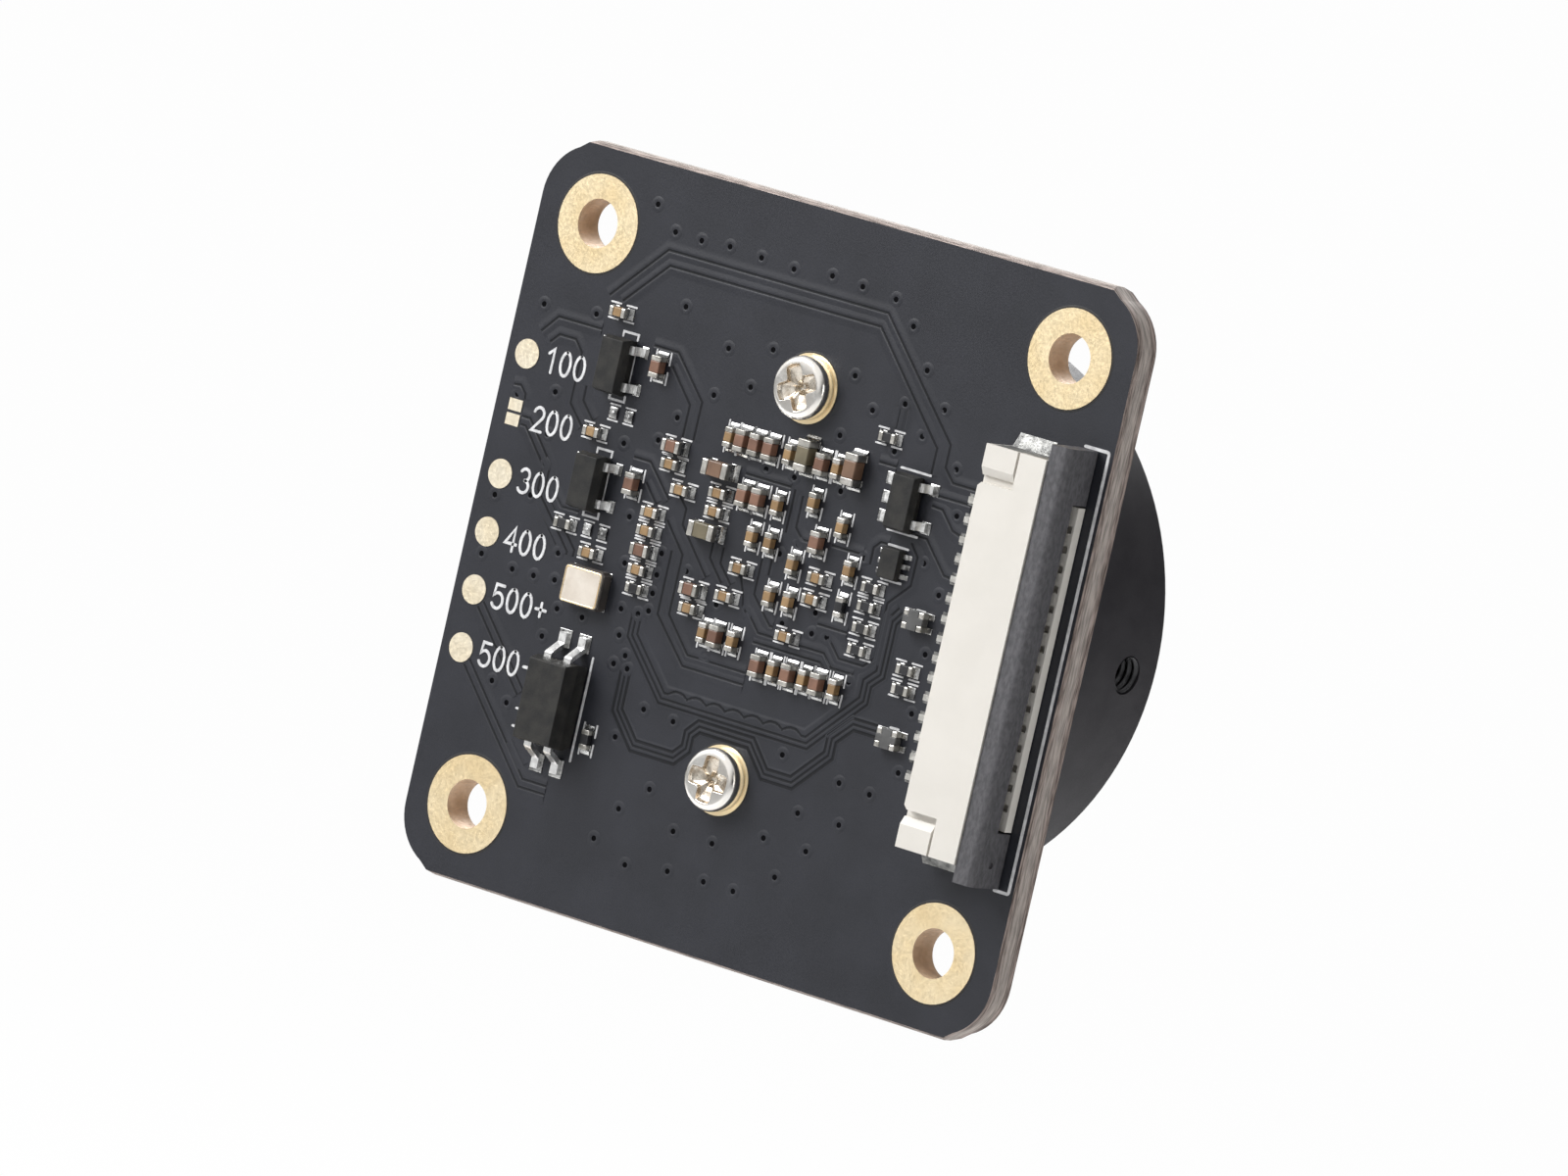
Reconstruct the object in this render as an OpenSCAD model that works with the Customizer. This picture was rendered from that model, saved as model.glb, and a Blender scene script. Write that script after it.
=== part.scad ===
// Board camera module: a square circuit board with a cylindrical lens mount
// on one side and a flat-cable connector among small parts on the other.
//
// Every sub-part is drawn in the board's own frame: x to the right, y up and
// z out of the component side, with the origin at the centre of the four
// mounting holes on the component face. upright() then stands the board on
// its lower edge, so that the component side faces -Y and the lens mount +Y.

/* [Circuit board] */
// Width of the circuit board
board_w = 37.7; // [36.5:0.1:42]
// Height of the circuit board over its scored edges
board_h = 38; // [37:0.1:42]
// Thickness of the circuit board
board_t = 1.6; // [1.2:0.1:2.4]
// Radius of the board's routed corners
board_corner_r = 2.95; // [1.5:0.05:3.5]
// Depth of the score that parts the board from its panel, on each side
score_depth = 0.5; // [0.2:0.05:0.55]
// Distance that the scores' slope takes off each face
score_run = 0.18; // [0.05:0.01:0.3]
// Distance of the routed corners below the scored edges
routed_step = 0.26; // [0.2:0.02:0.5]
// Distance of the scored edges' ends from the board's sides
score_in = 2.45; // [2:0.05:3]
// Length of the ramp from a scored edge down to a routed corner
ramp_l = 0.75; // [0.3:0.05:1]
// Distance between the mounting holes, both ways
hole_pitch = 30; // [29:0.1:31]
// Finished diameter of the mounting holes
hole_d = 2.5; // [2:0.1:3]
// Outer diameter of the plated ring round each mounting hole
hole_ring_d = 5; // [4:0.1:5.4]
// Wall of the plating inside the mounting holes
plating_t = 0.05; // [0.03:0.01:0.1]
// Height of the copper pads above the board's faces
pad_t = 0.04; // [0.03:0.01:0.08]

/* [Test pads] */
// Diameter of the round test pads
test_pad_d = 1.5; // [1:0.1:1.8]
// Distance of the test pads' column from the centre
test_pad_x = 17.55; // [17.3:0.05:17.6]
// Distance between neighbouring test pads
test_pad_pitch = 3; // [2.4:0.1:3.1]
// Height of the third test pad from the top above the centre
test_pad_y = -1.5; // [-2:0.1:-1]
// Extra distance up to the top test pad
top_pad_shift = 0.2; // [0:0.1:0.4]
// Width of each half of the solder jumper
jumper_w = 0.85; // [0.6:0.05:1.2]
// Height of each half of the solder jumper
jumper_h = 0.6; // [0.4:0.05:0.7]
// Gap between the halves of the solder jumper
jumper_gap = 0.15; // [0.1:0.05:0.3]
// Height of the solder jumper's middle above the centre
jumper_y = 4.68; // [4.4:0.02:5]

/* [Lens mount] */
// Outer diameter of the lens mount
mount_d = 28.9; // [28:0.1:32]
// Height of the lens mount above the board's lens side
mount_h = 12.5; // [11.5:0.1:15]
// Diameter of the lens thread
thread_d = 25.4; // [25:0.1:26]
// Depth of the lens thread behind the front face
thread_l = 6.8; // [6:0.1:7.2]
// Lead-in chamfer of the lens thread
thread_chamfer = 0.25; // [0.1:0.05:0.4]
// Break of the mount's outer front edge
mount_edge = 0.06; // [0.02:0.02:0.3]
// Thickness of the floor that holds the filter
floor_t = 2.4; // [1.8:0.1:2.8]
// Width of the square pocket over the image sensor
pocket_w = 16; // [14.5:0.1:16.4]
// Corner radius of the pocket over the image sensor
pocket_r = 2; // [0.5:0.1:3]
// Width of the square window in front of the sensor
window_w = 10; // [8:0.1:10.8]
// Width of the square filter glass
filter_w = 12; // [11.4:0.1:13.4]
// Thickness of the filter glass
filter_t = 0.7; // [0.4:0.1:1.1]
// Gap round the filter glass in its recess
filter_gap = 0.1; // [0.05:0.05:0.2]
// Diameter of the hole for the set screw that locks the lens
set_screw_d = 2; // [1.6:0.1:2.4]
// Distance of the set screw behind the front face
set_screw_in = 2.4; // [1.8:0.1:3.5]
// Turn of the set screw's hole below the horizontal
set_screw_turn = 2; // [-10:0.5:10]

/* [Mount screws] */
// Distance between the two screws that hold the lens mount
screw_pitch = 20; // [19.8:0.1:20.6]
// Thread diameter of the mount screws
screw_d = 1.8; // [1.6:0.1:2]
// Length of the mount screws under the head
screw_l = 4.6; // [3.6:0.1:5.2]
// Diameter of the screw heads
head_d = 3.2; // [2.8:0.1:3.8]
// Height of the screw heads
head_h = 1; // [0.9:0.02:1.3]
// Radius of the rounded edge of the screw heads
head_edge_r = 0.35; // [0.1:0.05:0.4]
// Length of the arms of the cross recess, tip to tip
cross_l = 2.3; // [1.6:0.1:2.4]
// Width of the arms of the cross recess
cross_w = 0.6; // [0.4:0.02:0.7]
// Depth of the arms of the cross recess beside its middle
cross_depth = 0.6; // [0.3:0.05:0.7]
// Depth of the arms at their tips
cross_tip_depth = 0.15; // [0.05:0.05:0.3]
// Diameter of the tapered socket in the middle of the cross recess
cross_core_d = 1.3; // [1:0.05:1.5]
// Depth of the tapered socket in the middle of the cross recess
cross_core_depth = 0.8; // [0.5:0.05:0.85]
// Outer diameter of the gold pad under each screw head
screw_pad_d = 3.55; // [3.3:0.05:4]
// Gap between the screws and the holes they pass through
screw_gap = 0.1; // [0.05:0.05:0.2]
// Gap between the screws and the threaded holes of the mount
thread_gap = 0.02; // [0.01:0.01:0.04]

/* [Image sensor] */
// Width of the sensor package
sensor_w = 12; // [10:0.1:14]
// Height of the sensor package
sensor_h = 10.6; // [9:0.1:14]
// Thickness of the sensor package
sensor_t = 1.2; // [0.9:0.1:1.6]
// Width of the rim round the sensor's cavity
sensor_rim = 1.4; // [1:0.1:1.6]
// Depth of the sensor's cavity
sensor_cavity = 0.7; // [0.5:0.1:0.7]
// Width of the light-sensitive chip
die_w = 7.4; // [5:0.1:8]
// Height of the light-sensitive chip
die_h = 5.8; // [4:0.1:6]
// Thickness of the light-sensitive chip
die_t = 0.3; // [0.2:0.05:0.4]
// Thickness of the glass over the sensor
cover_glass_t = 0.5; // [0.3:0.1:0.6]
// Width of the package's rim left bare round the glass
cover_glass_edge = 0.5; // [0.2:0.1:0.8]

/* [Cable connector] */
// Distance of the connector's rear face from the centre
conn_x = 13.05; // [12.9:0.05:13.2]
// Number of contacts
contact_n = 15; // [9:2:15]
// Distance between neighbouring contacts
contact_pitch = 1; // [0.9:0.05:1]
// Depth of the housing from its rear face to its front face
housing_depth = 3.7; // [3.5:0.05:3.8]
// Height of the housing above the board
housing_h = 2.5; // [2.4:0.05:2.8]
// Gap between the housing and the board
housing_lift = 0.07; // [0.06:0.01:0.1]
// Length of the housing beyond the outermost contacts, at each end
housing_end = 3.15; // [3.05:0.05:3.3]
// Thickness of the jaw that the cable lies on
jaw_t = 0.54; // [0.5:0.01:0.6]
// Distance that the jaw reaches out of the housing
jaw_out = 1.2; // [1.1:0.05:1.25]
// Length of the jaw beyond the outermost contacts, at each end
jaw_end = 1.15; // [1:0.05:1.2]
// Height of the slot that the cable enters
cable_gap = 0.57; // [0.5:0.01:0.6]
// Length of the raised pads on the housing's rear corners
corner_pad_l = 1.95; // [1.6:0.05:2.1]
// Width of the flat top of the raised pads
corner_pad_w = 1.15; // [1:0.05:1.3]
// Width of the slope on the raised pads' inner edge
corner_slope_w = 0.4; // [0.2:0.05:0.45]
// Height that the slope drops
corner_slope_h = 0.25; // [0.1:0.05:0.3]
// Width of the groove beside the raised pads
corner_gap = 0.14; // [0.1:0.02:0.2]
// Width of the groove beyond the slope
corner_groove_w = 0.35; // [0.2:0.05:0.4]
// Depth of the groove round the raised pads
corner_depth = 0.4; // [0.3:0.05:0.5]
// Size of the cut at the groove's rear end
corner_cut = 0.2; // [0.1:0.05:0.3]
// Width of the channels that hold the contacts
channel_w = 0.35; // [0.32:0.01:0.4]
// Thickness of the contacts
contact_t = 0.3; // [0.2:0.02:0.3]
// Distance that the contacts' feet reach behind the housing
tail_out = 1.95; // [1.6:0.05:2.1]
// Height of the contact points above the jaw
contact_bump = 0.05; // [0.02:0.01:0.08]
// Width of the pads under the contacts' feet
contact_pad_w = 0.6; // [0.4:0.05:0.75]
// Thickness of the anchors at the housing's ends
anchor_t = 0.15; // [0.1:0.01:0.2]
// Height of the anchors' plates above the board
anchor_h = 2.15; // [1.8:0.05:2.3]
// Length of the anchors' feet along the housing's end
anchor_foot_l = 2.3; // [2:0.1:2.8]
// Distance that the anchors' feet reach out of the housing
anchor_out = 0.45; // [0.3:0.05:0.5]
// Distance that the anchors' pads reach out of the housing
anchor_pad_out = 0.72; // [0.6:0.02:0.8]
// Height of the solder against the anchors' plates
anchor_solder_h = 0.5; // [0.3:0.05:0.8]

/* [Connector slider] */
// Thickness of the slider's front bar
slider_t = 1.15; // [0.9:0.05:1.2]
// Height of the slider above the board
slider_h = 2.4; // [2.3:0.05:2.4]
// Length of the slider's ends beyond the housing, at each end
slider_over = 0.85; // [0.5:0.05:0.9]
// Radius of the slider's upper front edge
slider_edge_r = 0.4; // [0.1:0.05:0.5]
// Diameter of the mould dimple in the slider's front
dimple_d = 0.35; // [0.2:0.05:0.5]
// Depth of the tongue that presses on the cable
tongue_depth = 2.3; // [1.8:0.05:2.4]
// Thickness of the tongue
tongue_t = 0.62; // [0.5:0.02:0.66]
// Running gap round the sliding faces
slider_gap = 0.05; // [0.03:0.01:0.07]
// Length of the two guide prongs
prong_depth = 1.9; // [1.5:0.05:2.2]
// Width of the two guide prongs
prong_w = 0.8; // [0.6:0.05:1]
// Height of the two guide prongs
prong_h = 0.6; // [0.4:0.05:0.7]

/* [Integrated circuits] */
// Width of the five-lead package across its leads
sot_w = 1.6; // [1.5:0.05:1.7]
// Length of the five-lead package
sot_l = 2.9; // [2.8:0.05:3]
// Height of the two regulators on the left
sot_h = 1.2; // [0.9:0.02:1.25]
// Height of the regulator beside the connector
low_sot_h = 0.9; // [0.8:0.02:1.25]
// Distance between neighbouring leads of the five-lead package
sot_pitch = 0.95; // [0.9:0.05:1]
// Width of the leads of the five-lead package
sot_lead_w = 0.44; // [0.3:0.02:0.48]
// Tip-to-tip width of the five-lead package over its leads
sot_span = 2.8; // [2.6:0.05:3]
// Length of the pads under the leads of the five-lead package
sot_pad_l = 0.45; // [0.35:0.05:0.8]
// Width of the pads under the leads of the five-lead package
sot_pad_w = 0.62; // [0.5:0.02:0.8]
// Width of the six-lead package
micro_w = 1.2; // [1.1:0.05:1.3]
// Length of the six-lead package
micro_l = 1.6; // [1.5:0.05:1.7]
// Height of the six-lead package
micro_h = 0.55; // [0.45:0.05:0.6]
// Distance between neighbouring leads of the six-lead package
micro_pitch = 0.5; // [0.45:0.01:0.55]
// Tip-to-tip width of the six-lead package over its leads
micro_span = 1.6; // [1.5:0.05:1.8]
// Width of the optocoupler's body
opto_w = 2.65; // [2.5:0.05:2.8]
// Length of the optocoupler's body
opto_l = 4.4; // [4.2:0.05:4.6]
// Height of the optocoupler's body
opto_h = 1.8; // [1.6:0.05:2]
// Distance between neighbouring leads of the optocoupler
opto_pitch = 1.27; // [1.2:0.01:1.3]
// Tip-to-tip length of the optocoupler over its leads
opto_span = 7; // [6.6:0.1:7.2]
// Width of the optocoupler's leads
opto_lead_w = 0.45; // [0.4:0.01:0.5]
// Height of the optocoupler's parting line and leads above the board
opto_part_z = 1.02; // [0.8:0.02:1.2]

/* [Oscillator] */
// Width of the oscillator
osc_w = 2.5; // [2.4:0.05:2.6]
// Height of the oscillator across the board
osc_l = 2; // [1.9:0.05:2.1]
// Thickness of the oscillator's base
osc_base_t = 0.6; // [0.5:0.05:0.7]
// Thickness of the oscillator's lid
osc_lid_t = 0.12; // [0.08:0.02:0.2]
// Width of the base left bare round the lid
osc_rim = 0.08; // [0.05:0.01:0.15]

/* [Chips] */
// Length of the small capacitors and of the resistors
small_l = 1; // [0.95:0.01:1.05]
// Width of the small capacitors and of the resistors
small_w = 0.5; // [0.45:0.01:0.55]
// Height of the small capacitors
small_h = 0.5; // [0.4:0.01:0.55]
// Height of the resistors
resistor_h = 0.35; // [0.3:0.01:0.4]
// Length of the medium capacitors
medium_l = 1.1; // [1:0.01:1.15]
// Width and height of the medium capacitors
medium_w = 0.62; // [0.55:0.01:0.65]
// Length of the large capacitors
large_l = 1.6; // [1.5:0.02:1.66]
// Width and height of the large capacitors
large_w = 0.8; // [0.7:0.02:0.86]
// Length of the metal ends of small and medium chips
end_l = 0.25; // [0.2:0.01:0.3]
// Length of the metal ends of large chips
large_end_l = 0.35; // [0.3:0.01:0.45]
// Distance that the metal ends stand out round the chips' bodies
end_wrap = 0.02; // [0.01:0.005:0.03]
// Distance that the solder reaches beyond the chips' ends
fillet_l = 0.24; // [0.15:0.01:0.26]
// Share of a chip's height that the solder climbs
fillet_climb = 0.6; // [0.3:0.05:0.8]
// Width of the chip arrays
array_w = 1.25; // [1.2:0.01:1.3]
// Height of the chip arrays across the board
array_l = 1; // [0.95:0.01:1.05]
// Thickness of the chip arrays
array_h = 0.5; // [0.4:0.02:0.6]
// Size of the metal corners of the chip arrays
array_corner = 0.32; // [0.25:0.01:0.36]
// Height of the solder on the empty pads
dome_h = 0.16; // [0.08:0.01:0.22]

/* [Hidden] */

$fn = 64;
eps = 0.01;

// Heights of the board across its faces and across its routed corners
face_h = board_h - 2 * score_run;
corner_h = board_h - 2 * routed_step;

// Ends of the scored edges and of the ramps, which meet the arc of the routed corners
scored_x = board_w / 2 - score_in;
ramp_x = scored_x + ramp_l;
ramp_out = board_corner_r - score_in + ramp_l;
ramp_y = corner_h / 2 - board_corner_r + sqrt(board_corner_r * board_corner_r - ramp_out * ramp_out);

// Heights of the main faces
back_z = -board_t;
front_z = back_z - mount_h;
thread_floor_z = front_z + thread_l;
pocket_depth = mount_h - thread_l - floor_t;

// Holes in the board and in the mount
board_screw_d = screw_d + 2 * screw_gap;
mount_screw_hole_d = screw_d + 2 * thread_gap;
screw_hole_spare = 0.4;
screw_hole_depth = screw_l + pad_t - board_t + screw_hole_spare;
screw_tip = 0.2;
screw_turns = [26, -3];

// Heights and positions on the connector, front being away from the centre
contact_span = (contact_n - 1) * contact_pitch;
housing_front_x = conn_x + housing_depth;
jaw_front_x = housing_front_x + jaw_out;
housing_l = contact_span + 2 * housing_end;
jaw_l = contact_span + 2 * jaw_end;
jaw_top_z = housing_lift + jaw_t;
cable_top_z = jaw_top_z + cable_gap;
tongue_z = cable_top_z + slider_gap;
tongue_l = jaw_l - 2 * slider_gap;
cavity_top_z = tongue_z + tongue_t + slider_gap;
cavity_l = jaw_l + 2 * slider_gap;
slider_rear_x = housing_front_x + slider_gap;
slider_front_x = slider_rear_x + slider_t;
slider_l = housing_l + 2 * slider_over;
slider_lift = housing_lift + eps;
slider_jaw_gap = 2 * slider_gap;
dimple_in = 1.15;
dimple_z = 1.13;
dimple_depth = 0.12;
prong_y = (jaw_l / 2 + housing_l / 2) / 2;
prong_z = 0.9;
channel_z = jaw_top_z - 0.4;
roof_slot_h = 0.2;
contact_root_x = conn_x + 0.95;
contact_tip_x = jaw_front_x - 0.65;
channel_end_x = jaw_front_x - 0.14;
corner_pocket_l = corner_pad_l + corner_gap;
corner_pocket_w = corner_pad_w + corner_slope_w + corner_groove_w;
anchor_in = 0.1;
contact_pad_over = 0.1;
contact_pad_l = 1.6;

// Rows of the round test pads: the jumper takes the place of the fourth row up
test_pad_rows = concat(
    [for (i = [-2 : 1]) test_pad_y + i * test_pad_pitch],
    [test_pad_y + 3 * test_pad_pitch + top_pad_shift]
);

// Leads and mouldings of the packages
body_lift = 0.1;
sot_lead_t = 0.15;
sot_foot_l = 0.35;
sot_shoulder_l = 0.15;
sot_root_l = 0.2;
sot_draft = 0.14;
low_pad_over = 0.15;
micro_lead_l = 0.4;
micro_lead_w = 0.24;
micro_lead_t = 0.13;
micro_draft = 0.06;
opto_lead_t = 0.2;
opto_foot_l = 0.6;
opto_shoulder_l = 0.2;
opto_root_l = 0.3;
opto_draft = 0.16;
pad_margin = 0.35;
osc_pad_w = 0.85;
osc_pad_l = 0.75;

// Places of the integrated circuits
sot_places = [[-11.6, 8.45], [-11.6, 2.45]];
low_sot_places = [[7.5, 5.95]];
micro_place = [7.45, 2.85];
opto_place = [-10.67, -8.7];
osc_place = [-10.5, -2.7];
array_places = [[9.65, 0.5], [9.65, -5.5]];

// Places of the chips that lie along x and of those that stand along y
small_across = [
    [-12.25, 11.05], [-12.25, 4.9], [-7.05, 4.45], [-7.6, 1.85], [-7.6, 0.9],
    [-7.6, -1.1], [-6.1, 3.35], [-10.85, -1], [-3.75, 3.75], [-3.75, 2.8],
    [-1.5, 0.45], [-2, -1.1], [-4, -2.2], [3.3, 1.1], [3.25, 0], [2.15, -2.15]
];
small_upright = [
    [-3.85, 6.6], [-0.05, 6.6], [3, 6.6], [-0.1, 4], [-1.2, 2.15], [-0.05, 2.1],
    [0.65, -0.45], [1.85, -0.45], [1.6, 1.4], [2.05, 4.65], [4.05, 3.85],
    [5.05, 1.9], [-2.8, -3.15], [-0.95, -3.15], [1.85, -3.95], [3.8, -3.95],
    [5.75, -3.95]
];
medium_across = [[-7.1, 5.35], [-7.6, -0.1], [-4.1, -1.25]];
medium_upright = [
    [-3.05, 6.6], [-2.15, 6.6], [-1.25, 6.6], [2.05, 6.6], [-2.2, 4], [-1.3, 4],
    [2.8, 2.8], [-2, -3.15], [0.9, -3.95], [2.85, -3.95], [4.7, -3.95],
    [-9.15, 8.95], [-9.15, 2.95]
];
large_across = [[-4, 4.9]];
large_upright = [[4.05, 6.8]];
filter_across = [[-4, 1.75]];
filter_upright = [[1.05, 6.8]];
resistors_across = [
    [-12.85, 0.05], [5.55, 8.8], [6.55, 1.4], [6.55, 0.45], [6.55, -0.65],
    [6.55, -1.75], [9.7, -2], [9.7, -3], [-7.6, -2.05]
];
resistors_upright = [[-8.5, -10.05], [4.95, 0.05]];
empty_places = [[-10.9, 6.1], [-10.9, 0.1]];

// Stands the board's frame upright: y becomes the height, z points to -Y
module upright() rotate([90, 0, 0]) children();

// Repeats its children at each listed place, turned by an angle
module at_places(places, turn = 0)
    for (p = places) translate([p[0], p[1], 0]) rotate(turn) children();

// Repeats its children at the four mounting holes
module at_holes()
    for (x = [-1, 1], y = [-1, 1]) translate([x, y] * hole_pitch / 2) children();

// Repeats its children at the two mount screws; $i is the screw's number
module at_screws()
    for ($i = [0, 1]) translate([0, (0.5 - $i) * screw_pitch]) children();

// Repeats its children at each contact of the connector
module at_contacts()
    for (i = [0 : contact_n - 1]) translate([0, i * contact_pitch - contact_span / 2, 0]) children();

// Copies its children to the other side of the plane across y
module both_ends() {
    children();
    mirror([0, 1, 0]) children();
}

// Rectangle with round corners, centred
module rounded_rect(w, h, r) {
    square([w - 2 * r, h], center = true);
    square([w, h - 2 * r], center = true);
    for (x = [-1, 1], y = [-1, 1])
        translate([x * (w / 2 - r), y * (h / 2 - r)]) circle(r);
}

// Block on z = 0, centred in x and y
module block(w, l, h) translate([-w / 2, -l / 2, 0]) cube([w, l, h]);

// Outline in x and z drawn out along y by l, centred
module drawn_along_y(l) rotate([90, 0, 0]) linear_extrude(l, center = true) children();

// Outline in y and z drawn out along x by w, centred
module drawn_along_x(w) rotate([90, 0, 90]) linear_extrude(w, center = true) children();

// Side view of a moulded package: narrow foot, parting line, drafted top
module package_outline(w, h, foot, part_z, draft) polygon([
    [-w / 2 + draft / 2, foot], [w / 2 - draft / 2, foot], [w / 2, part_z],
    [w / 2 - draft, h], [-w / 2 + draft, h], [-w / 2, part_z]
]);

// Moulded package with draft on all four sides
module package(w, l, h, foot, part_z, draft) intersection() {
    drawn_along_y(l + 1) package_outline(w, h, foot, part_z, draft);
    drawn_along_x(w + 1) package_outline(l, h, foot, part_z, draft);
}

// Bent lead leaving a package face at x = 0: root inside, shoulder, riser and foot
module gull_lead(reach, exit_z, shoulder_l, foot_l, width, t, root) {
    bend_x = reach - foot_l;
    drawn_along_y(width) polygon([
        [-root, exit_z + t / 2], [shoulder_l, exit_z + t / 2], [shoulder_l + t / 2, exit_z],
        [bend_x + t / 2, pad_t + t], [reach, pad_t + t], [reach, pad_t],
        [bend_x - t / 2, pad_t], [shoulder_l - t / 2, exit_z - t / 2], [-root, exit_z - t / 2]
    ]);
}

// Both metal ends of a chip of length l
module chip_end_pair(l, w, h, e)
    for (s = [-1, 1]) translate([s * (l - e) / 2, 0, pad_t]) block(e, w, h);

// Ceramic body of a chip between its metal ends
module chip_body(l, w, h, e)
    translate([0, 0, pad_t + end_wrap]) block(l - 2 * e, w - 2 * end_wrap, h - 2 * end_wrap);

// Pads and hollow solder fillets at both ends of a chip
module chip_joint(l, w, h, e) for (s = [0, 180]) rotate(s) drawn_along_y(w + 0.08) {
    climb = fillet_climb * h;
    polygon([
        [l / 2 - e, 0], [l / 2 + fillet_l, 0], [l / 2 + fillet_l, pad_t],
        [l / 2 + 0.5 * fillet_l, pad_t + 0.18 * climb], [l / 2 + 0.2 * fillet_l, pad_t + 0.45 * climb],
        [l / 2, pad_t + climb], [l / 2, pad_t], [l / 2 - e, pad_t]
    ]);
}

// Outline of the board: routed corners that ramp up to the scored edges
module board_outline() {
    rounded_rect(board_w, corner_h, board_corner_r);
    polygon([
        [-ramp_x, -ramp_y], [-scored_x, -board_h / 2], [scored_x, -board_h / 2], [ramp_x, -ramp_y],
        [ramp_x, ramp_y], [scored_x, board_h / 2], [-scored_x, board_h / 2], [-ramp_x, ramp_y]
    ]);
}

// Side view of the board, with the sloping scores that leave a web between them
module score_outline() polygon([
    [-face_h / 2, 0], [face_h / 2, 0], [board_h / 2, -score_depth],
    [board_h / 2, back_z + score_depth], [face_h / 2, back_z], [-face_h / 2, back_z],
    [-board_h / 2, back_z + score_depth], [-board_h / 2, -score_depth]
]);

module circuit_board() color([0.19, 0.2, 0.22]) upright() intersection() {
    translate([0, 0, back_z]) linear_extrude(board_t) difference() {
        board_outline();
        at_holes() circle(d = hole_d + 2 * plating_t);
        at_screws() circle(d = board_screw_d);
    }
    drawn_along_x(board_w + 1) score_outline();
}

module hole_rings() color([0.93, 0.8, 0.55]) upright() at_holes() difference() {
    union() {
        cylinder(d = hole_ring_d, h = pad_t);
        translate([0, 0, back_z]) cylinder(d = hole_d + 2 * plating_t, h = board_t);
        translate([0, 0, back_z - pad_t]) cylinder(d = hole_ring_d, h = pad_t);
    }
    translate([0, 0, back_z - 1]) cylinder(d = hole_d, h = board_t + 2);
}

module screw_pads() color([0.85, 0.68, 0.4]) upright() at_screws()
    linear_extrude(pad_t) difference() {
        circle(d = screw_pad_d);
        circle(d = board_screw_d);
    }

module test_pads() color([0.96, 0.86, 0.66]) upright() linear_extrude(pad_t) {
    for (y = test_pad_rows) translate([-test_pad_x, y]) circle(d = test_pad_d);
    for (s = [-1, 1]) translate([-test_pad_x, jumper_y + s * (jumper_h + jumper_gap) / 2])
        square([jumper_w, jumper_h], center = true);
}

module lens_mount() color([0.2, 0.2, 0.21]) upright() difference() {
    rotate_extrude() polygon([
        [0, back_z], [mount_d / 2, back_z], [mount_d / 2, front_z + mount_edge],
        [mount_d / 2 - mount_edge, front_z], [thread_d / 2 + thread_chamfer, front_z],
        [thread_d / 2, front_z + thread_chamfer], [thread_d / 2, thread_floor_z], [0, thread_floor_z]
    ]);
    translate([0, 0, back_z - pocket_depth]) linear_extrude(pocket_depth + 1)
        rounded_rect(pocket_w, pocket_w, pocket_r);
    translate([0, 0, thread_floor_z - 1]) block(window_w, window_w, floor_t + 2);
    translate([0, 0, thread_floor_z - 1])
        block(filter_w + 2 * filter_gap, filter_w + 2 * filter_gap, filter_t + 1);
    at_screws() translate([0, 0, back_z - screw_hole_depth])
        cylinder(d = mount_screw_hole_d, h = screw_hole_depth + 1);
    rotate(-set_screw_turn) translate([thread_d / 2 - 1, 0, front_z + set_screw_in]) rotate([0, 90, 0])
        cylinder(d = set_screw_d, h = mount_d / 2 - thread_d / 2 + 2);
}

// Cross recess below z = 0: two arms that deepen to a tapered socket
module cross_recess() {
    for (a = [0, 90]) rotate(a) drawn_along_y(cross_w) polygon([
        [-cross_l / 2, eps], [cross_l / 2, eps], [cross_l / 2, -cross_tip_depth],
        [cross_w / 2, -cross_depth], [-cross_w / 2, -cross_depth], [-cross_l / 2, -cross_tip_depth]
    ]);
    translate([0, 0, -cross_core_depth])
        cylinder(d1 = cross_w, d2 = cross_core_d, h = cross_core_depth + eps);
}

module mount_screws() color([0.8, 0.78, 0.74]) upright() at_screws() difference() {
    rotate_extrude() polygon(concat(
        [[0, pad_t + head_h]],
        [for (a = [90 : -22.5 : 0]) [
            head_d / 2 - head_edge_r + head_edge_r * cos(a),
            pad_t + head_h - head_edge_r + head_edge_r * sin(a)
        ]],
        [[head_d / 2, pad_t], [screw_d / 2, pad_t], [screw_d / 2, pad_t - screw_l + screw_tip],
         [screw_d / 2 - screw_tip, pad_t - screw_l], [0, pad_t - screw_l]]
    ));
    translate([0, 0, pad_t + head_h]) rotate(screw_turns[$i]) cross_recess();
}

module filter_glass() color([0.55, 0.75, 0.8, 0.6]) upright()
    translate([0, 0, thread_floor_z]) block(filter_w, filter_w, filter_t);

module sensor_package() color([0.3, 0.3, 0.32]) upright()
    translate([0, 0, back_z - sensor_t]) difference() {
        block(sensor_w, sensor_h, sensor_t);
        translate([0, 0, -1])
            block(sensor_w - 2 * sensor_rim, sensor_h - 2 * sensor_rim, sensor_cavity + 1);
    }

module sensor_die() color([0.25, 0.2, 0.3]) upright()
    translate([0, 0, back_z - sensor_t + sensor_cavity - die_t]) block(die_w, die_h, die_t);

module sensor_cover_glass() color([0.8, 0.85, 0.9, 0.5]) upright()
    translate([0, 0, back_z - sensor_t - cover_glass_t])
        block(sensor_w - 2 * cover_glass_edge, sensor_h - 2 * cover_glass_edge, cover_glass_t);

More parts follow.
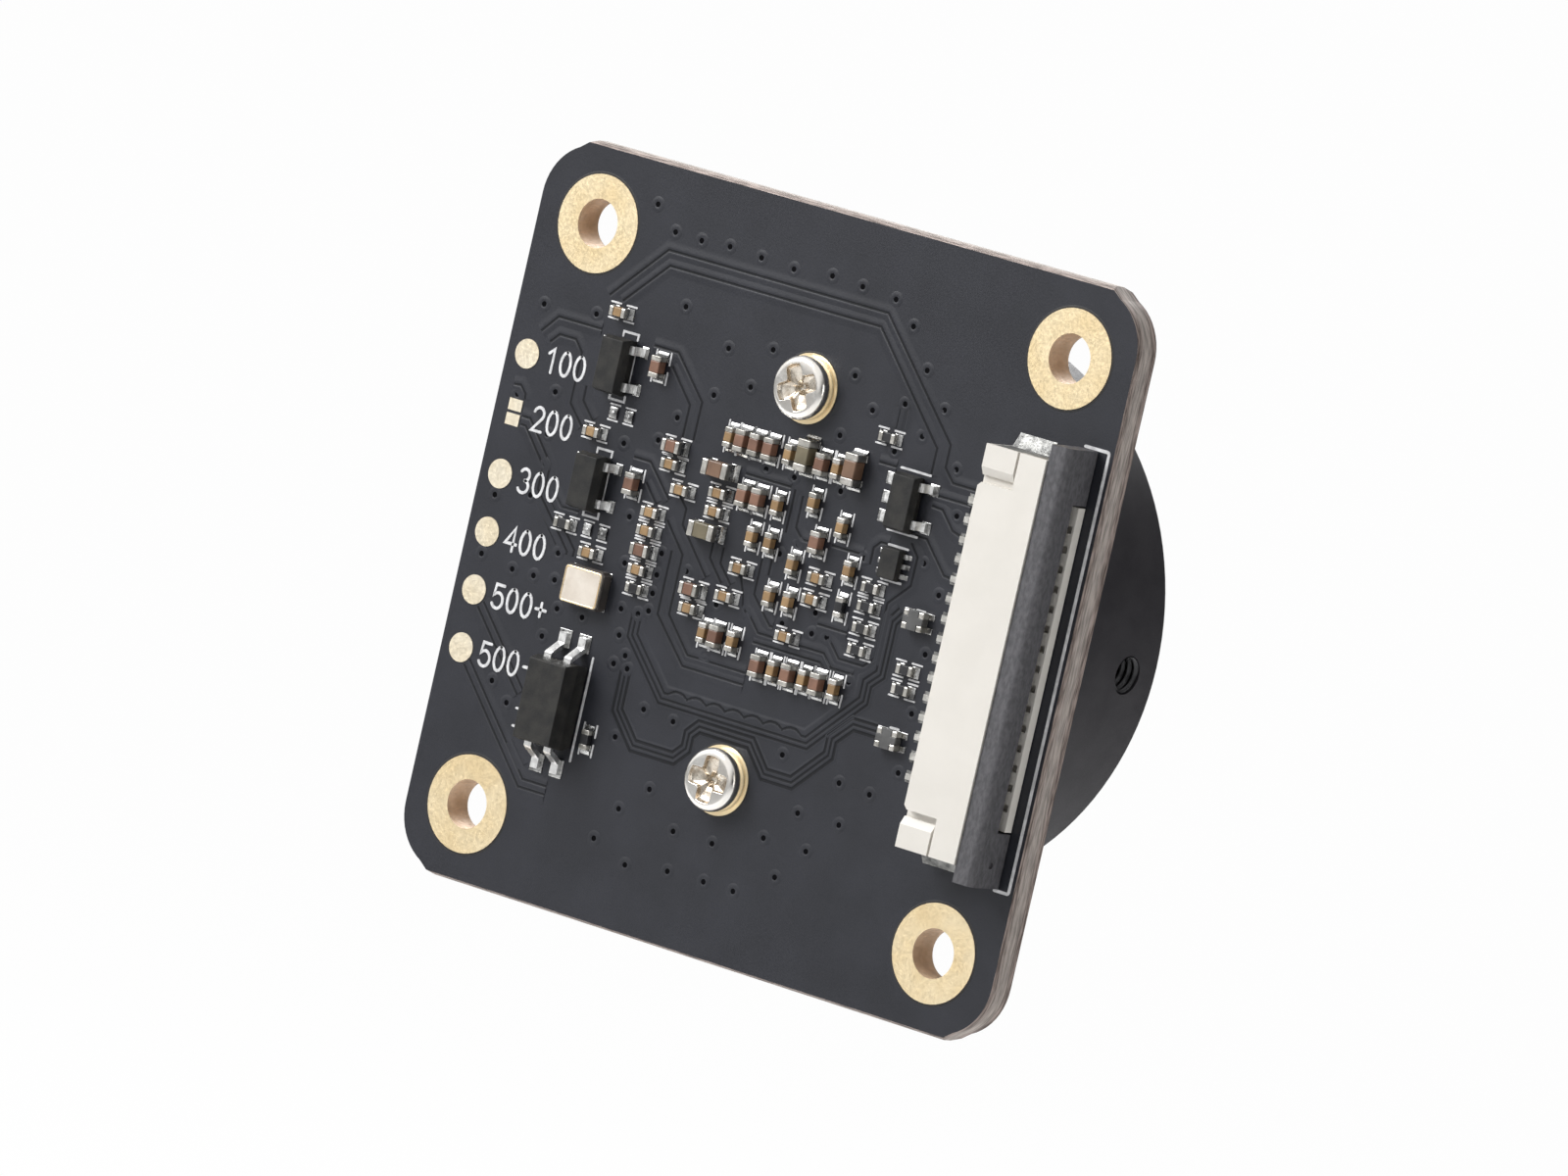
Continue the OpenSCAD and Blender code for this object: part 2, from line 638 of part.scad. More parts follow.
// Side view of a contact: foot, riser, root, lower spring with its bump, upper arm
module contact_outline() polygon([
    [conn_x - tail_out, pad_t], [conn_x - 0.45, pad_t], [conn_x - 0.1, channel_z],
    [contact_tip_x, channel_z], [contact_tip_x, channel_z + 0.15],
    [contact_tip_x - 0.6, jaw_top_z + contact_bump], [contact_tip_x - 0.85, jaw_top_z + contact_bump],
    [contact_tip_x - 1.4, channel_z + 0.18], [contact_root_x, channel_z + 0.18],
    [contact_root_x, cavity_top_z], [contact_root_x + 1.6, cavity_top_z + 0.03],
    [contact_root_x + 1.6, cavity_top_z + roof_slot_h], [conn_x, cavity_top_z + roof_slot_h],
    [conn_x, channel_z + 0.25], [conn_x - 0.25, channel_z + 0.2],
    [conn_x - 0.6, pad_t + 0.18], [conn_x - tail_out, pad_t + 0.18]
]);

module connector_contacts() color([0.85, 0.8, 0.7]) upright()
    at_contacts() drawn_along_y(contact_t) contact_outline();

// Side view of the housing and its jaw, without the inner space
module housing_outline() polygon([
    [conn_x, housing_lift], [jaw_front_x, housing_lift], [jaw_front_x, jaw_top_z],
    [housing_front_x, jaw_top_z], [housing_front_x, housing_h], [conn_x, housing_h]
]);

// Groove round the raised pad at one end of the housing's top
module corner_groove() translate([conn_x, housing_l / 2, housing_h]) difference() {
    translate([0, 0, -corner_depth]) linear_extrude(corner_depth + 1) polygon([
        [-1, 1], [corner_pocket_l, 1], [corner_pocket_l, -corner_pocket_w],
        [corner_cut, -corner_pocket_w], [0, -corner_pocket_w - corner_cut], [-1, -corner_pocket_w - corner_cut]
    ]);
    translate([corner_pad_l / 2 - 1, 0, 0]) drawn_along_x(corner_pad_l + 2) polygon([
        [2, -1], [2, 2], [-corner_pad_w, 2], [-corner_pad_w, 0],
        [-corner_pad_w - corner_slope_w, -corner_slope_h], [-corner_pad_w - corner_slope_w, -1]
    ]);
}

// Metal anchor at one end: a plate let into the housing's end and a foot on the board
module anchor_shape() translate([conn_x + anchor_in, housing_l / 2 - anchor_t, pad_t]) {
    cube([housing_depth - 2 * anchor_in, anchor_t, anchor_h - pad_t]);
    cube([anchor_foot_l, anchor_t + anchor_out, anchor_t]);
}

// Solder against the anchor at one end, over its foot and down to the edge of its pad
module anchor_solder() difference() {
    translate([conn_x + anchor_in + anchor_foot_l / 2, housing_l / 2, 0]) drawn_along_x(anchor_foot_l) polygon([
        [0, pad_t], [anchor_pad_out, pad_t], [0.6 * anchor_pad_out, 0.45 * anchor_solder_h],
        [0.25 * anchor_pad_out, 0.75 * anchor_solder_h], [0, anchor_solder_h]
    ]);
    anchor_shape();
}

module connector_housing() color([0.93, 0.92, 0.88]) upright() difference() {
    union() {
        intersection() {
            drawn_along_y(housing_l) housing_outline();
            translate([conn_x, -housing_l / 2, 0]) cube([housing_depth, housing_l, housing_h]);
        }
        translate([housing_front_x - 1, -jaw_l / 2, housing_lift])
            cube([jaw_out + 1, jaw_l, jaw_t]);
    }
    translate([contact_root_x, -cavity_l / 2, jaw_top_z])
        cube([housing_depth, cavity_l, cavity_top_z - jaw_top_z]);
    at_contacts() {
        translate([conn_x - 1, -contact_t / 2, channel_z])
            cube([contact_root_x - conn_x + 1, contact_t, cavity_top_z + roof_slot_h - channel_z]);
        translate([contact_root_x - eps, -contact_t / 2, cavity_top_z - eps])
            cube([1.6 + eps, contact_t, roof_slot_h + eps]);
        translate([contact_root_x - eps, -channel_w / 2, channel_z])
            cube([channel_end_x - contact_root_x + eps, channel_w, jaw_t]);
    }
    both_ends() {
        corner_groove();
        anchor_shape();
        translate([housing_front_x - prong_depth - 0.1, prong_y - prong_w / 2 - slider_gap, prong_z - slider_gap])
            cube([prong_depth + 1, prong_w + 2 * slider_gap, prong_h + 2 * slider_gap]);
    }
}

module connector_anchors() color([0.85, 0.84, 0.8]) upright() both_ends() anchor_shape();

module connector_slider() color([0.13, 0.13, 0.14]) upright() {
    difference() {
        drawn_along_y(slider_l) polygon(concat(
            [[slider_rear_x, slider_lift], [slider_front_x, slider_lift]],
            [for (a = [0 : 15 : 90]) [
                slider_front_x - slider_edge_r + slider_edge_r * cos(a),
                slider_h - slider_edge_r + slider_edge_r * sin(a)
            ]],
            [[slider_rear_x, slider_h]]
        ));
        translate([slider_rear_x - 1, -jaw_l / 2 - slider_jaw_gap, -1])
            cube([slider_t + 2, jaw_l + 2 * slider_jaw_gap, cable_top_z + 1]);
        translate([slider_front_x - dimple_depth, dimple_in - slider_l / 2, dimple_z]) rotate([0, 90, 0])
            cylinder(d = dimple_d, h = 1);
    }
    translate([slider_rear_x - tongue_depth, -tongue_l / 2, tongue_z])
        cube([tongue_depth + slider_t / 2, tongue_l, tongue_t]);
    both_ends() translate([slider_rear_x - prong_depth, prong_y - prong_w / 2, prong_z])
        cube([prong_depth + slider_t / 2, prong_w, prong_h]);
}

// Pads of the connector, with the solder on the anchors' pads
module connector_pads() color([0.82, 0.81, 0.78]) upright() {
    at_contacts() translate([conn_x - tail_out - contact_pad_over, -contact_pad_w / 2, 0])
        cube([contact_pad_l, contact_pad_w, pad_t]);
    both_ends() {
        translate([conn_x + anchor_in, housing_l / 2 - anchor_t, 0])
            cube([anchor_foot_l, anchor_t + anchor_pad_out, pad_t]);
        anchor_solder();
    }
}

// The five leads of a package of height h: two on the right, three on the left
module sot_leads(h) {
    for (y = [-1, 1]) translate([sot_w / 2, y * sot_pitch, 0]) sot_lead(h);
    for (y = [-1 : 1]) rotate(180) translate([sot_w / 2, y * sot_pitch, 0]) sot_lead(h);
}

module sot_lead(h)
    gull_lead((sot_span - sot_w) / 2, h / 2, sot_shoulder_l, sot_foot_l, sot_lead_w, sot_lead_t, sot_root_l);

module sot_body(h) difference() {
    package(sot_w, sot_l, h, body_lift, h / 2, sot_draft);
    sot_leads(h);
}

module regulator_bodies() color([0.13, 0.13, 0.13]) upright() {
    at_places(sot_places) sot_body(sot_h);
    at_places(low_sot_places) sot_body(low_sot_h);
}

module regulator_leads() color([0.8, 0.8, 0.8]) upright() {
    at_places(sot_places) sot_leads(sot_h);
    at_places(low_sot_places) sot_leads(low_sot_h);
}

// Flat leads of the six-lead package
module micro_leads() for (s = [0, 180], y = [-1 : 1]) rotate(s)
    translate([micro_span / 2 - micro_lead_l, y * micro_pitch - micro_lead_w / 2, pad_t])
        cube([micro_lead_l, micro_lead_w, micro_lead_t]);

module switch_body() color([0.12, 0.12, 0.12]) upright() at_places([micro_place]) difference() {
    package(micro_w, micro_l, micro_h, pad_t, micro_h / 2, micro_draft);
    micro_leads();
}

module switch_leads() color([0.8, 0.8, 0.8]) upright() at_places([micro_place]) micro_leads();

module opto_leads() for (turn = [90, 270], y = [-1, 1]) rotate(turn)
    translate([opto_l / 2, y * opto_pitch / 2, 0]) gull_lead(
        (opto_span - opto_l) / 2, opto_part_z, opto_shoulder_l, opto_foot_l, opto_lead_w, opto_lead_t, opto_root_l
    );

module optocoupler_body() color([0.1, 0.1, 0.1]) upright() at_places([opto_place]) difference() {
    package(opto_w, opto_l, opto_h, body_lift, opto_part_z, opto_draft);
    opto_leads();
}

module optocoupler_leads() color([0.8, 0.8, 0.8]) upright() at_places([opto_place]) opto_leads();

module oscillator_base() color([0.2, 0.19, 0.18]) upright() at_places([osc_place])
    translate([0, 0, pad_t]) linear_extrude(osc_base_t) difference() {
        square([osc_w, osc_l], center = true);
        for (x = [-1, 1], y = [-1, 1]) translate([x * osc_w, y * osc_l] / 2) circle(0.15);
    }

module oscillator_lid() color([0.86, 0.78, 0.6]) upright() at_places([osc_place])
    translate([0, 0, pad_t + osc_base_t]) linear_extrude(osc_lid_t)
        rounded_rect(osc_w - 2 * osc_rim, osc_l - 2 * osc_rim, 0.2);

module lead_pads() color([0.82, 0.82, 0.82]) upright() {
    at_places(sot_places) sot_pads(0);
    at_places(low_sot_places) sot_pads(low_pad_over);
    at_places([micro_place]) for (s = [-1, 1], y = [-1 : 1])
        translate([s * micro_span / 2, y * micro_pitch, 0]) block(micro_lead_l, micro_lead_w, pad_t);
    at_places([opto_place]) for (s = [-1, 1], x = [-1, 1])
        translate([x * opto_pitch / 2, s * (opto_span - opto_foot_l) / 2, 0])
            block(opto_lead_w + pad_margin, opto_foot_l + pad_margin, pad_t);
    at_places([osc_place]) for (x = [-1, 1], y = [-1, 1])
        translate([x * (osc_w - osc_pad_w) / 2, y * (osc_l - osc_pad_l) / 2, 0]) block(osc_pad_w, osc_pad_l, pad_t);
    at_places(array_places) for (x = [-1, 1], y = [-1, 1])
        translate([x * array_w / 2, y * (array_l - array_corner) / 2, 0])
            block(2 * array_corner, array_corner, pad_t);
}

// Pads under the five leads, reaching out beyond their tips
module sot_pads(over) {
    for (y = [-1, 1]) translate([sot_span / 2 - sot_foot_l, y * sot_pitch - sot_pad_w / 2, 0])
        cube([sot_pad_l + over, sot_pad_w, pad_t]);
    for (y = [-1 : 1]) rotate(180) translate([sot_span / 2 - sot_foot_l, y * sot_pitch - sot_pad_w / 2, 0])
        cube([sot_pad_l + over, sot_pad_w, pad_t]);
}

// The four metal corners of a chip array
module corner_blocks() for (x = [-1, 1], y = [-1, 1])
    translate([x * (array_w - array_corner) / 2, y * (array_l - array_corner) / 2, pad_t])
        block(array_corner, array_corner, array_h);

module array_bodies() color([0.45, 0.45, 0.45]) upright() at_places(array_places) difference() {
    translate([0, 0, pad_t]) block(array_w, array_l, array_h);
    corner_blocks();
}

module array_corners() color([0.85, 0.85, 0.84]) upright() at_places(array_places) corner_blocks();

module small_capacitors() color([0.6, 0.46, 0.33]) upright() {
    at_places(small_across) chip_body(small_l, small_w, small_h, end_l);
    at_places(small_upright, 90) chip_body(small_l, small_w, small_h, end_l);
}

module medium_capacitors() color([0.5, 0.33, 0.26]) upright() {
    at_places(medium_across) chip_body(medium_l, medium_w, medium_w, end_l);
    at_places(medium_upright, 90) chip_body(medium_l, medium_w, medium_w, end_l);
}

module large_capacitors() color([0.48, 0.34, 0.25]) upright() {
    at_places(large_across) chip_body(large_l, large_w, large_w, large_end_l);
    at_places(large_upright, 90) chip_body(large_l, large_w, large_w, large_end_l);
}

module filter_capacitors() color([0.47, 0.42, 0.28]) upright() {
    at_places(filter_across) chip_body(large_l, large_w, large_w, large_end_l);
    at_places(filter_upright, 90) chip_body(large_l, large_w, large_w, large_end_l);
}

module resistors() color([0.12, 0.12, 0.13]) upright() {
    at_places(resistors_across) chip_body(small_l, small_w, resistor_h, end_l);
    at_places(resistors_upright, 90) chip_body(small_l, small_w, resistor_h, end_l);
}

module chip_ends() color([0.82, 0.81, 0.8]) upright() {
    at_places(small_across) chip_end_pair(small_l, small_w, small_h, end_l);
    at_places(small_upright, 90) chip_end_pair(small_l, small_w, small_h, end_l);
    at_places(medium_across) chip_end_pair(medium_l, medium_w, medium_w, end_l);
    at_places(medium_upright, 90) chip_end_pair(medium_l, medium_w, medium_w, end_l);
    at_places(concat(large_across, filter_across)) chip_end_pair(large_l, large_w, large_w, large_end_l);
    at_places(concat(large_upright, filter_upright), 90) chip_end_pair(large_l, large_w, large_w, large_end_l);
    at_places(resistors_across) chip_end_pair(small_l, small_w, resistor_h, end_l);
    at_places(resistors_upright, 90) chip_end_pair(small_l, small_w, resistor_h, end_l);
}

module chip_solder() color([0.85, 0.85, 0.84]) upright() {
    at_places(small_across) chip_joint(small_l, small_w, small_h, end_l);
    at_places(small_upright, 90) chip_joint(small_l, small_w, small_h, end_l);
    at_places(medium_across) chip_joint(medium_l, medium_w, medium_w, end_l);
    at_places(medium_upright, 90) chip_joint(medium_l, medium_w, medium_w, end_l);
    at_places(concat(large_across, filter_across)) chip_joint(large_l, large_w, large_w, large_end_l);
    at_places(concat(large_upright, filter_upright), 90) chip_joint(large_l, large_w, large_w, large_end_l);
    at_places(resistors_across) chip_joint(small_l, small_w, resistor_h, end_l);
    at_places(resistors_upright, 90) chip_joint(small_l, small_w, resistor_h, end_l);
}

// Pads without a chip, each with a low dome of solder
module empty_pads() color([0.82, 0.82, 0.82]) upright() at_places(empty_places)
    for (s = [-1, 1]) translate([s * small_l / 2, 0, 0]) intersection() {
        translate([0, 0, dome_h - small_l]) sphere(small_l);
        block(small_w, small_w + 0.1, 1);
    }

circuit_board();
hole_rings();
screw_pads();
test_pads();
lens_mount();
mount_screws();
filter_glass();
sensor_package();
sensor_die();
sensor_cover_glass();
connector_housing();
connector_slider();
connector_contacts();
connector_anchors();
connector_pads();
regulator_bodies();
regulator_leads();
switch_body();
switch_leads();
optocoupler_body();
optocoupler_leads();
oscillator_base();
oscillator_lid();
lead_pads();
array_bodies();
array_corners();
small_capacitors();
medium_capacitors();
large_capacitors();
filter_capacitors();
resistors();
chip_ends();
chip_solder();
empty_pads();
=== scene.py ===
import math

import bpy
import numpy as np
from mathutils import Matrix, Vector


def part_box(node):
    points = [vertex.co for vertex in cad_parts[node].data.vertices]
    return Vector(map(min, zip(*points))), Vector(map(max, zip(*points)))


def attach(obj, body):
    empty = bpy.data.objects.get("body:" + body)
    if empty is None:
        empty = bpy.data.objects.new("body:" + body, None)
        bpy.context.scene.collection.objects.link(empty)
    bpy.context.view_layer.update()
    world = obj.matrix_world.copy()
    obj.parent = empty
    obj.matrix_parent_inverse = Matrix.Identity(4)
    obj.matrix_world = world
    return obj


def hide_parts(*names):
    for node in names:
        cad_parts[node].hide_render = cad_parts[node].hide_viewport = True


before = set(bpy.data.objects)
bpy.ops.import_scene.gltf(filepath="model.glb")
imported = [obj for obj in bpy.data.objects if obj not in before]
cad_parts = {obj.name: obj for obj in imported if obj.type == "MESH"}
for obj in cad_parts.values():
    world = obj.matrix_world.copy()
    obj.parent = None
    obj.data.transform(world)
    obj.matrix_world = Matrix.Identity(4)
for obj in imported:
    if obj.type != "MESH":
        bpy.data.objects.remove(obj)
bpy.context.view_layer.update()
scene = bpy.context.scene
scene.view_settings.view_transform = "Standard"


# ---------------------------------------------------------------- camera
# A long lens looks at the component side from its right and a little above,
# turned about its own axis so that the board leans to the right.
eye = Vector((0.40455, -0.55341, 0.06767))
aim = Vector((0.00123, 0.0, 0.00013))
lean = math.radians(12.808)
camera_data = bpy.data.cameras.new("camera")
camera_data.lens, camera_data.sensor_width = 319.2, 36.0
camera_data.clip_start, camera_data.clip_end = 0.01, 20.0
camera = bpy.data.objects.new("camera", camera_data)
camera.matrix_world = (Matrix.Translation(eye)
                       @ (aim - eye).to_track_quat("-Z", "Y").to_matrix().to_4x4()
                       @ Matrix.Rotation(lean, 4, "Z"))
scene.collection.objects.link(camera)
scene.camera = camera


# ---------------------------------------------------------------- floor and light
# A pale floor lies below the module, which is held up by its mounting holes. A
# soft lamp hangs near it on the upper left, a weak one stands on its right and
# another behind it, in a studio that is bright on the upper left.
def add_mesh(name, points, faces, finish=None):
    """An object whose place is in its mesh: points in metres, faces of any size."""
    mesh = bpy.data.meshes.new(name)
    mesh.from_pydata(np.asarray(points).tolist(), [], np.asarray(faces).tolist())
    thing = bpy.data.objects.new(name, mesh)
    scene.collection.objects.link(thing)
    if finish:
        mesh.materials.append(finish)
    return thing


def one_for_rays(tree, names):
    """The largest of the named Light Path outputs: 1 for those rays, 0 for others."""
    path = tree.nodes.new("ShaderNodeLightPath")
    total = path.outputs[names[0]]
    for name in names[1:]:
        larger = tree.nodes.new("ShaderNodeMath")
        larger.operation = "MAXIMUM"
        tree.links.new(total, larger.inputs[0])
        tree.links.new(path.outputs[name], larger.inputs[1])
        total = larger.outputs[0]
    return total


reach, below = 6, -0.1
floor = add_mesh("floor", [(-reach, -reach, below), (reach, -reach, below),
                           (reach, reach, below), (-reach, reach, below)], [(0, 1, 2, 3)])
floor_paint = bpy.data.materials.new("floor_paint")
floor_paint.use_nodes = True
tree = floor_paint.node_tree
paint = tree.nodes["Principled BSDF"]
paint.inputs["Base Color"].default_value = (0.8, 0.8, 0.8, 1)
paint.inputs["Roughness"].default_value = 0.9
# Seen straight, the floor is nearly white and keeps only a trace of the shadow.
white_share = 0.975
share = tree.nodes.new("ShaderNodeMath")
share.operation = "MULTIPLY"
share.inputs[1].default_value = white_share
glow = tree.nodes.new("ShaderNodeEmission")
blend = tree.nodes.new("ShaderNodeMixShader")
tree.links.new(one_for_rays(tree, ("Is Camera Ray", "Is Transmission Ray")), share.inputs[0])
tree.links.new(share.outputs[0], blend.inputs["Fac"])
tree.links.new(paint.outputs[0], blend.inputs[1])
tree.links.new(glow.outputs[0], blend.inputs[2])
tree.links.new(blend.outputs[0], tree.nodes["Material Output"].inputs["Surface"])
floor.data.materials.append(floor_paint)

# The studio's strength rises with the cosine of the angle to its bright side: in one
# range for the light that falls on surfaces, in another for what shiny ones mirror.
bright_side = Vector((-0.6, -0.35, 0.72)).normalized()
lighting = {"From Min": -0.45, "From Max": 0.75, "To Min": 0.08, "To Max": 0.6}
mirrored = {"From Min": -0.25, "From Max": 0.62, "To Min": 0.06, "To Max": 1.0}
world = bpy.data.worlds.new("studio")
scene.world = world
world.use_nodes = True
tree = world.node_tree
air = tree.nodes["Background"]
air.inputs["Color"].default_value = (1, 1, 1, 1)
heading = tree.nodes.new("ShaderNodeTexCoord")
towards = tree.nodes.new("ShaderNodeVectorMath")
towards.operation = "DOT_PRODUCT"
towards.inputs[1].default_value = bright_side
tree.links.new(heading.outputs["Generated"], towards.inputs[0])
levels = []
for ranges in (lighting, mirrored):
    level = tree.nodes.new("ShaderNodeMapRange")
    level.interpolation_type = "SMOOTHSTEP"
    for socket, value in ranges.items():
        level.inputs[socket].default_value = value
    tree.links.new(towards.outputs["Value"], level.inputs["Value"])
    levels.append(level.outputs["Result"])
shine = tree.nodes.new("ShaderNodeMix")
tree.links.new(one_for_rays(tree, ("Is Glossy Ray",)), shine.inputs[0])
tree.links.new(levels[0], shine.inputs[2])
tree.links.new(levels[1], shine.inputs[3])
clear = tree.nodes.new("ShaderNodeMix")
clear.inputs[3].default_value = 1.0
tree.links.new(one_for_rays(tree, ("Is Camera Ray", "Is Transmission Ray")), clear.inputs[0])
tree.links.new(shine.outputs[0], clear.inputs[2])
tree.links.new(clear.outputs[0], air.inputs["Strength"])


def soft_lamp(name, place, size, power):
    """A square area lamp of the given size at a place, turned to face the module."""
    data = bpy.data.lights.new(name, "AREA")
    data.shape, data.size, data.energy = "SQUARE", size, power
    lamp = bpy.data.objects.new(name, data)
    lamp.matrix_world = (Matrix.Translation(Vector(place))
                         @ (-Vector(place)).to_track_quat("-Z", "Y").to_matrix().to_4x4())
    scene.collection.objects.link(lamp)


soft_lamp("key_lamp", (-0.15, -0.16, 0.17), 0.16, 0.92)
soft_lamp("side_lamp", (0.36, -0.03, 0.06), 0.2, 0.22)
soft_lamp("back_lamp", (-0.16, 0.34, 0.28), 0.24, 1.6)


# ---------------------------------------------------------------- circuit board
# Glass-fibre laminate, routed to shape, covered on both faces with a dark
# satin solder mask. The cut edges show the bare laminate.
def new_finish(name, colour, roughness, metallic=0.0, gloss=0.5):
    """A material with its Principled shader and object coordinates ready to use. Where
    it isn't metal, gloss is how strongly it mirrors, and a half is usual."""
    finish = bpy.data.materials.new(name)
    finish.use_nodes = True
    nodes, links = finish.node_tree.nodes, finish.node_tree.links
    shader = nodes["Principled BSDF"]
    for socket, value in (("Base Color", (*colour, 1)), ("Roughness", roughness),
                          ("Metallic", metallic), ("Specular IOR Level", gloss)):
        shader.inputs[socket].default_value = value
    place = nodes.new("ShaderNodeTexCoord").outputs["Object"]
    return finish, nodes, links, shader, place


def empty_group(name, inputs, outputs):
    """A shader node group with sockets of the given names and kinds, and the nodes
    that stand for its inputs and its outputs."""
    group = bpy.data.node_groups.new(name, "ShaderNodeTree")
    for way, sockets in (("INPUT", inputs), ("OUTPUT", outputs)):
        for socket, kind in sockets:
            group.interface.new_socket(name=socket, in_out=way, socket_type="NodeSocket" + kind)
    return group, group.nodes.new("NodeGroupInput"), group.nodes.new("NodeGroupOutput")


def grain_group():
    """Two scales of noise: Colour runs between two tones with the coarse noise,
    Roughness between two values with the fine noise, Height is their sum."""
    group, source, sink = empty_group(
        "grain",
        (("Vector", "Vector"), ("Tone A", "Color"), ("Tone B", "Color"), ("Coarse", "Float"),
         ("Fine", "Float"), ("Rough Low", "Float"), ("Rough High", "Float")),
        (("Colour", "Color"), ("Roughness", "Float"), ("Height", "Float")))
    nodes, links = group.nodes, group.links
    noises = []
    for scale in ("Coarse", "Fine"):
        noise = nodes.new("ShaderNodeTexNoise")
        noise.inputs["Detail"].default_value = 3.0
        links.new(source.outputs["Vector"], noise.inputs["Vector"])
        links.new(source.outputs[scale], noise.inputs["Scale"])
        noises.append(noise.outputs["Fac"])
    spreads = []
    for noise, start, end in zip(noises, (0.35, 0.3), (0.65, 0.7)):
        spread = nodes.new("ShaderNodeMapRange")
        spread.inputs["From Min"].default_value = start
        spread.inputs["From Max"].default_value = end
        links.new(noise, spread.inputs["Value"])
        spreads.append(spread)
    tone, rough = nodes.new("ShaderNodeMix"), spreads[1]
    tone.data_type = "RGBA"
    links.new(spreads[0].outputs["Result"], tone.inputs[0])
    links.new(source.outputs["Tone A"], tone.inputs[6])
    links.new(source.outputs["Tone B"], tone.inputs[7])
    links.new(tone.outputs[2], sink.inputs["Colour"])
    links.new(source.outputs["Rough Low"], rough.inputs["To Min"])
    links.new(source.outputs["Rough High"], rough.inputs["To Max"])
    links.new(rough.outputs["Result"], sink.inputs["Roughness"])
    total = nodes.new("ShaderNodeMath")
    total.operation = "ADD"
    links.new(noises[0], total.inputs[0])
    links.new(noises[1], total.inputs[1])
    links.new(total.outputs[0], sink.inputs["Height"])
    return group


def flat_faces_group():
    """Share is one where the size of the normal's y part is over Limit, and nought
    elsewhere: it tells the board's faces from its edges and from walls of holes."""
    group, source, sink = empty_group("flat_faces", (("Normal", "Vector"), ("Limit", "Float")),
                                      (("Share", "Float"),))
    nodes, links = group.nodes, group.links
    split = nodes.new("ShaderNodeSeparateXYZ")
    size = nodes.new("ShaderNodeMath")
    size.operation = "ABSOLUTE"
    over = nodes.new("ShaderNodeMath")
    over.operation = "GREATER_THAN"
    links.new(source.outputs["Normal"], split.inputs[0])
    links.new(split.outputs["Y"], size.inputs[0])
    links.new(size.outputs[0], over.inputs[0])
    links.new(source.outputs["Limit"], over.inputs[1])
    links.new(over.outputs[0], sink.inputs["Share"])
    return group


grain = grain_group()
flat_faces = flat_faces_group()


def grain_node(nodes, links, place, tone_a, tone_b, coarse, fine, rough):
    """The grain group placed in a material with its own values."""
    node = nodes.new("ShaderNodeGroup")
    node.node_tree = grain
    for socket, value in (("Tone A", (*tone_a, 1)), ("Tone B", (*tone_b, 1)), ("Coarse", coarse),
                          ("Fine", fine), ("Rough Low", rough[0]), ("Rough High", rough[1])):
        node.inputs[socket].default_value = value
    links.new(place, node.inputs["Vector"])
    return node


def stretched(nodes, links, place, scale):
    """Coordinates scaled along each axis: a pattern is drawn out where the scale is low."""
    mapping = nodes.new("ShaderNodeMapping")
    mapping.inputs["Scale"].default_value = scale
    links.new(place, mapping.inputs["Vector"])
    return mapping.outputs["Vector"]


def relief(nodes, links, height, strength, depth=1e-5):
    """A Bump node on a height; its normal goes to the shader."""
    bump = nodes.new("ShaderNodeBump")
    bump.inputs["Strength"].default_value = strength
    bump.inputs["Distance"].default_value = depth
    links.new(height, bump.inputs["Height"])
    links.new(bump.outputs["Normal"], nodes["Principled BSDF"].inputs["Normal"])


def grained(name, tone_a, tone_b, coarse, fine, rough, bump, metallic=0.0, depth=1e-5,
            gloss=0.5, stretch=None):
    """A finish from the grain group: its two tones, the scales of the coarse and the fine
    noise, the range of its roughness, and the strength and depth in metres of its bumps.
    Metallic, gloss and stretch are as in new_finish and stretched."""
    finish, nodes, links, shader, place = new_finish(name, tone_a, rough[0], metallic, gloss)
    if stretch:
        place = stretched(nodes, links, place, stretch)
    node = grain_node(nodes, links, place, tone_a, tone_b, coarse, fine, rough)
    links.new(node.outputs["Colour"], shader.inputs["Base Color"])
    links.new(node.outputs["Roughness"], shader.inputs["Roughness"])
    relief(nodes, links, node.outputs["Height"], bump, depth)
    return finish


def two_zones(nodes, links, place, limit, edges, faces):
    """Each pair of outputs mixed by the flat_faces group, the first on edges and walls and
    the second on flat faces; then the share of the flat faces."""
    zone = nodes.new("ShaderNodeGroup")
    zone.node_tree = flat_faces
    zone.inputs["Limit"].default_value = limit
    links.new(place.node.outputs["Normal"], zone.inputs["Normal"])
    mixed = []
    for edge_out, face_out in zip(edges, faces):
        mix = nodes.new("ShaderNodeMix")
        first, result = 2, 0
        if face_out.type == "RGBA":
            mix.data_type, first, result = "RGBA", 6, 2
        links.new(zone.outputs["Share"], mix.inputs[0])
        links.new(edge_out, mix.inputs[first])
        links.new(face_out, mix.inputs[first + 1])
        mixed.append(mix.outputs[result])
    return *mixed, zone.outputs["Share"]


def dress(node, finish, edge=0.0):
    """Gives a CAD node its finish; edge, in millimetres, rounds its sharp edges."""
    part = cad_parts[node]
    part.data.materials.clear()
    part.data.materials.append(finish)
    if edge:
        weld = part.modifiers.new("weld", "WELD")
        weld.merge_threshold = 1e-6
        bevel = part.modifiers.new("edges", "BEVEL")
        bevel.width, bevel.segments = edge * 1e-3, 2
        bevel.limit_method, bevel.angle_limit = "ANGLE", math.radians(28)
        bevel.use_clamp_overlap = True
        bevel.harden_normals = False


mask_look = ((0.0135, 0.0145, 0.0195), (0.018, 0.0192, 0.0255), 300, 9000, (0.36, 0.5))
mask_bump, mask_gloss = 0.6, 0.4
mask = grained("solder_mask", *mask_look, mask_bump, gloss=mask_gloss)
board_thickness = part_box("circuit_board")[1].y


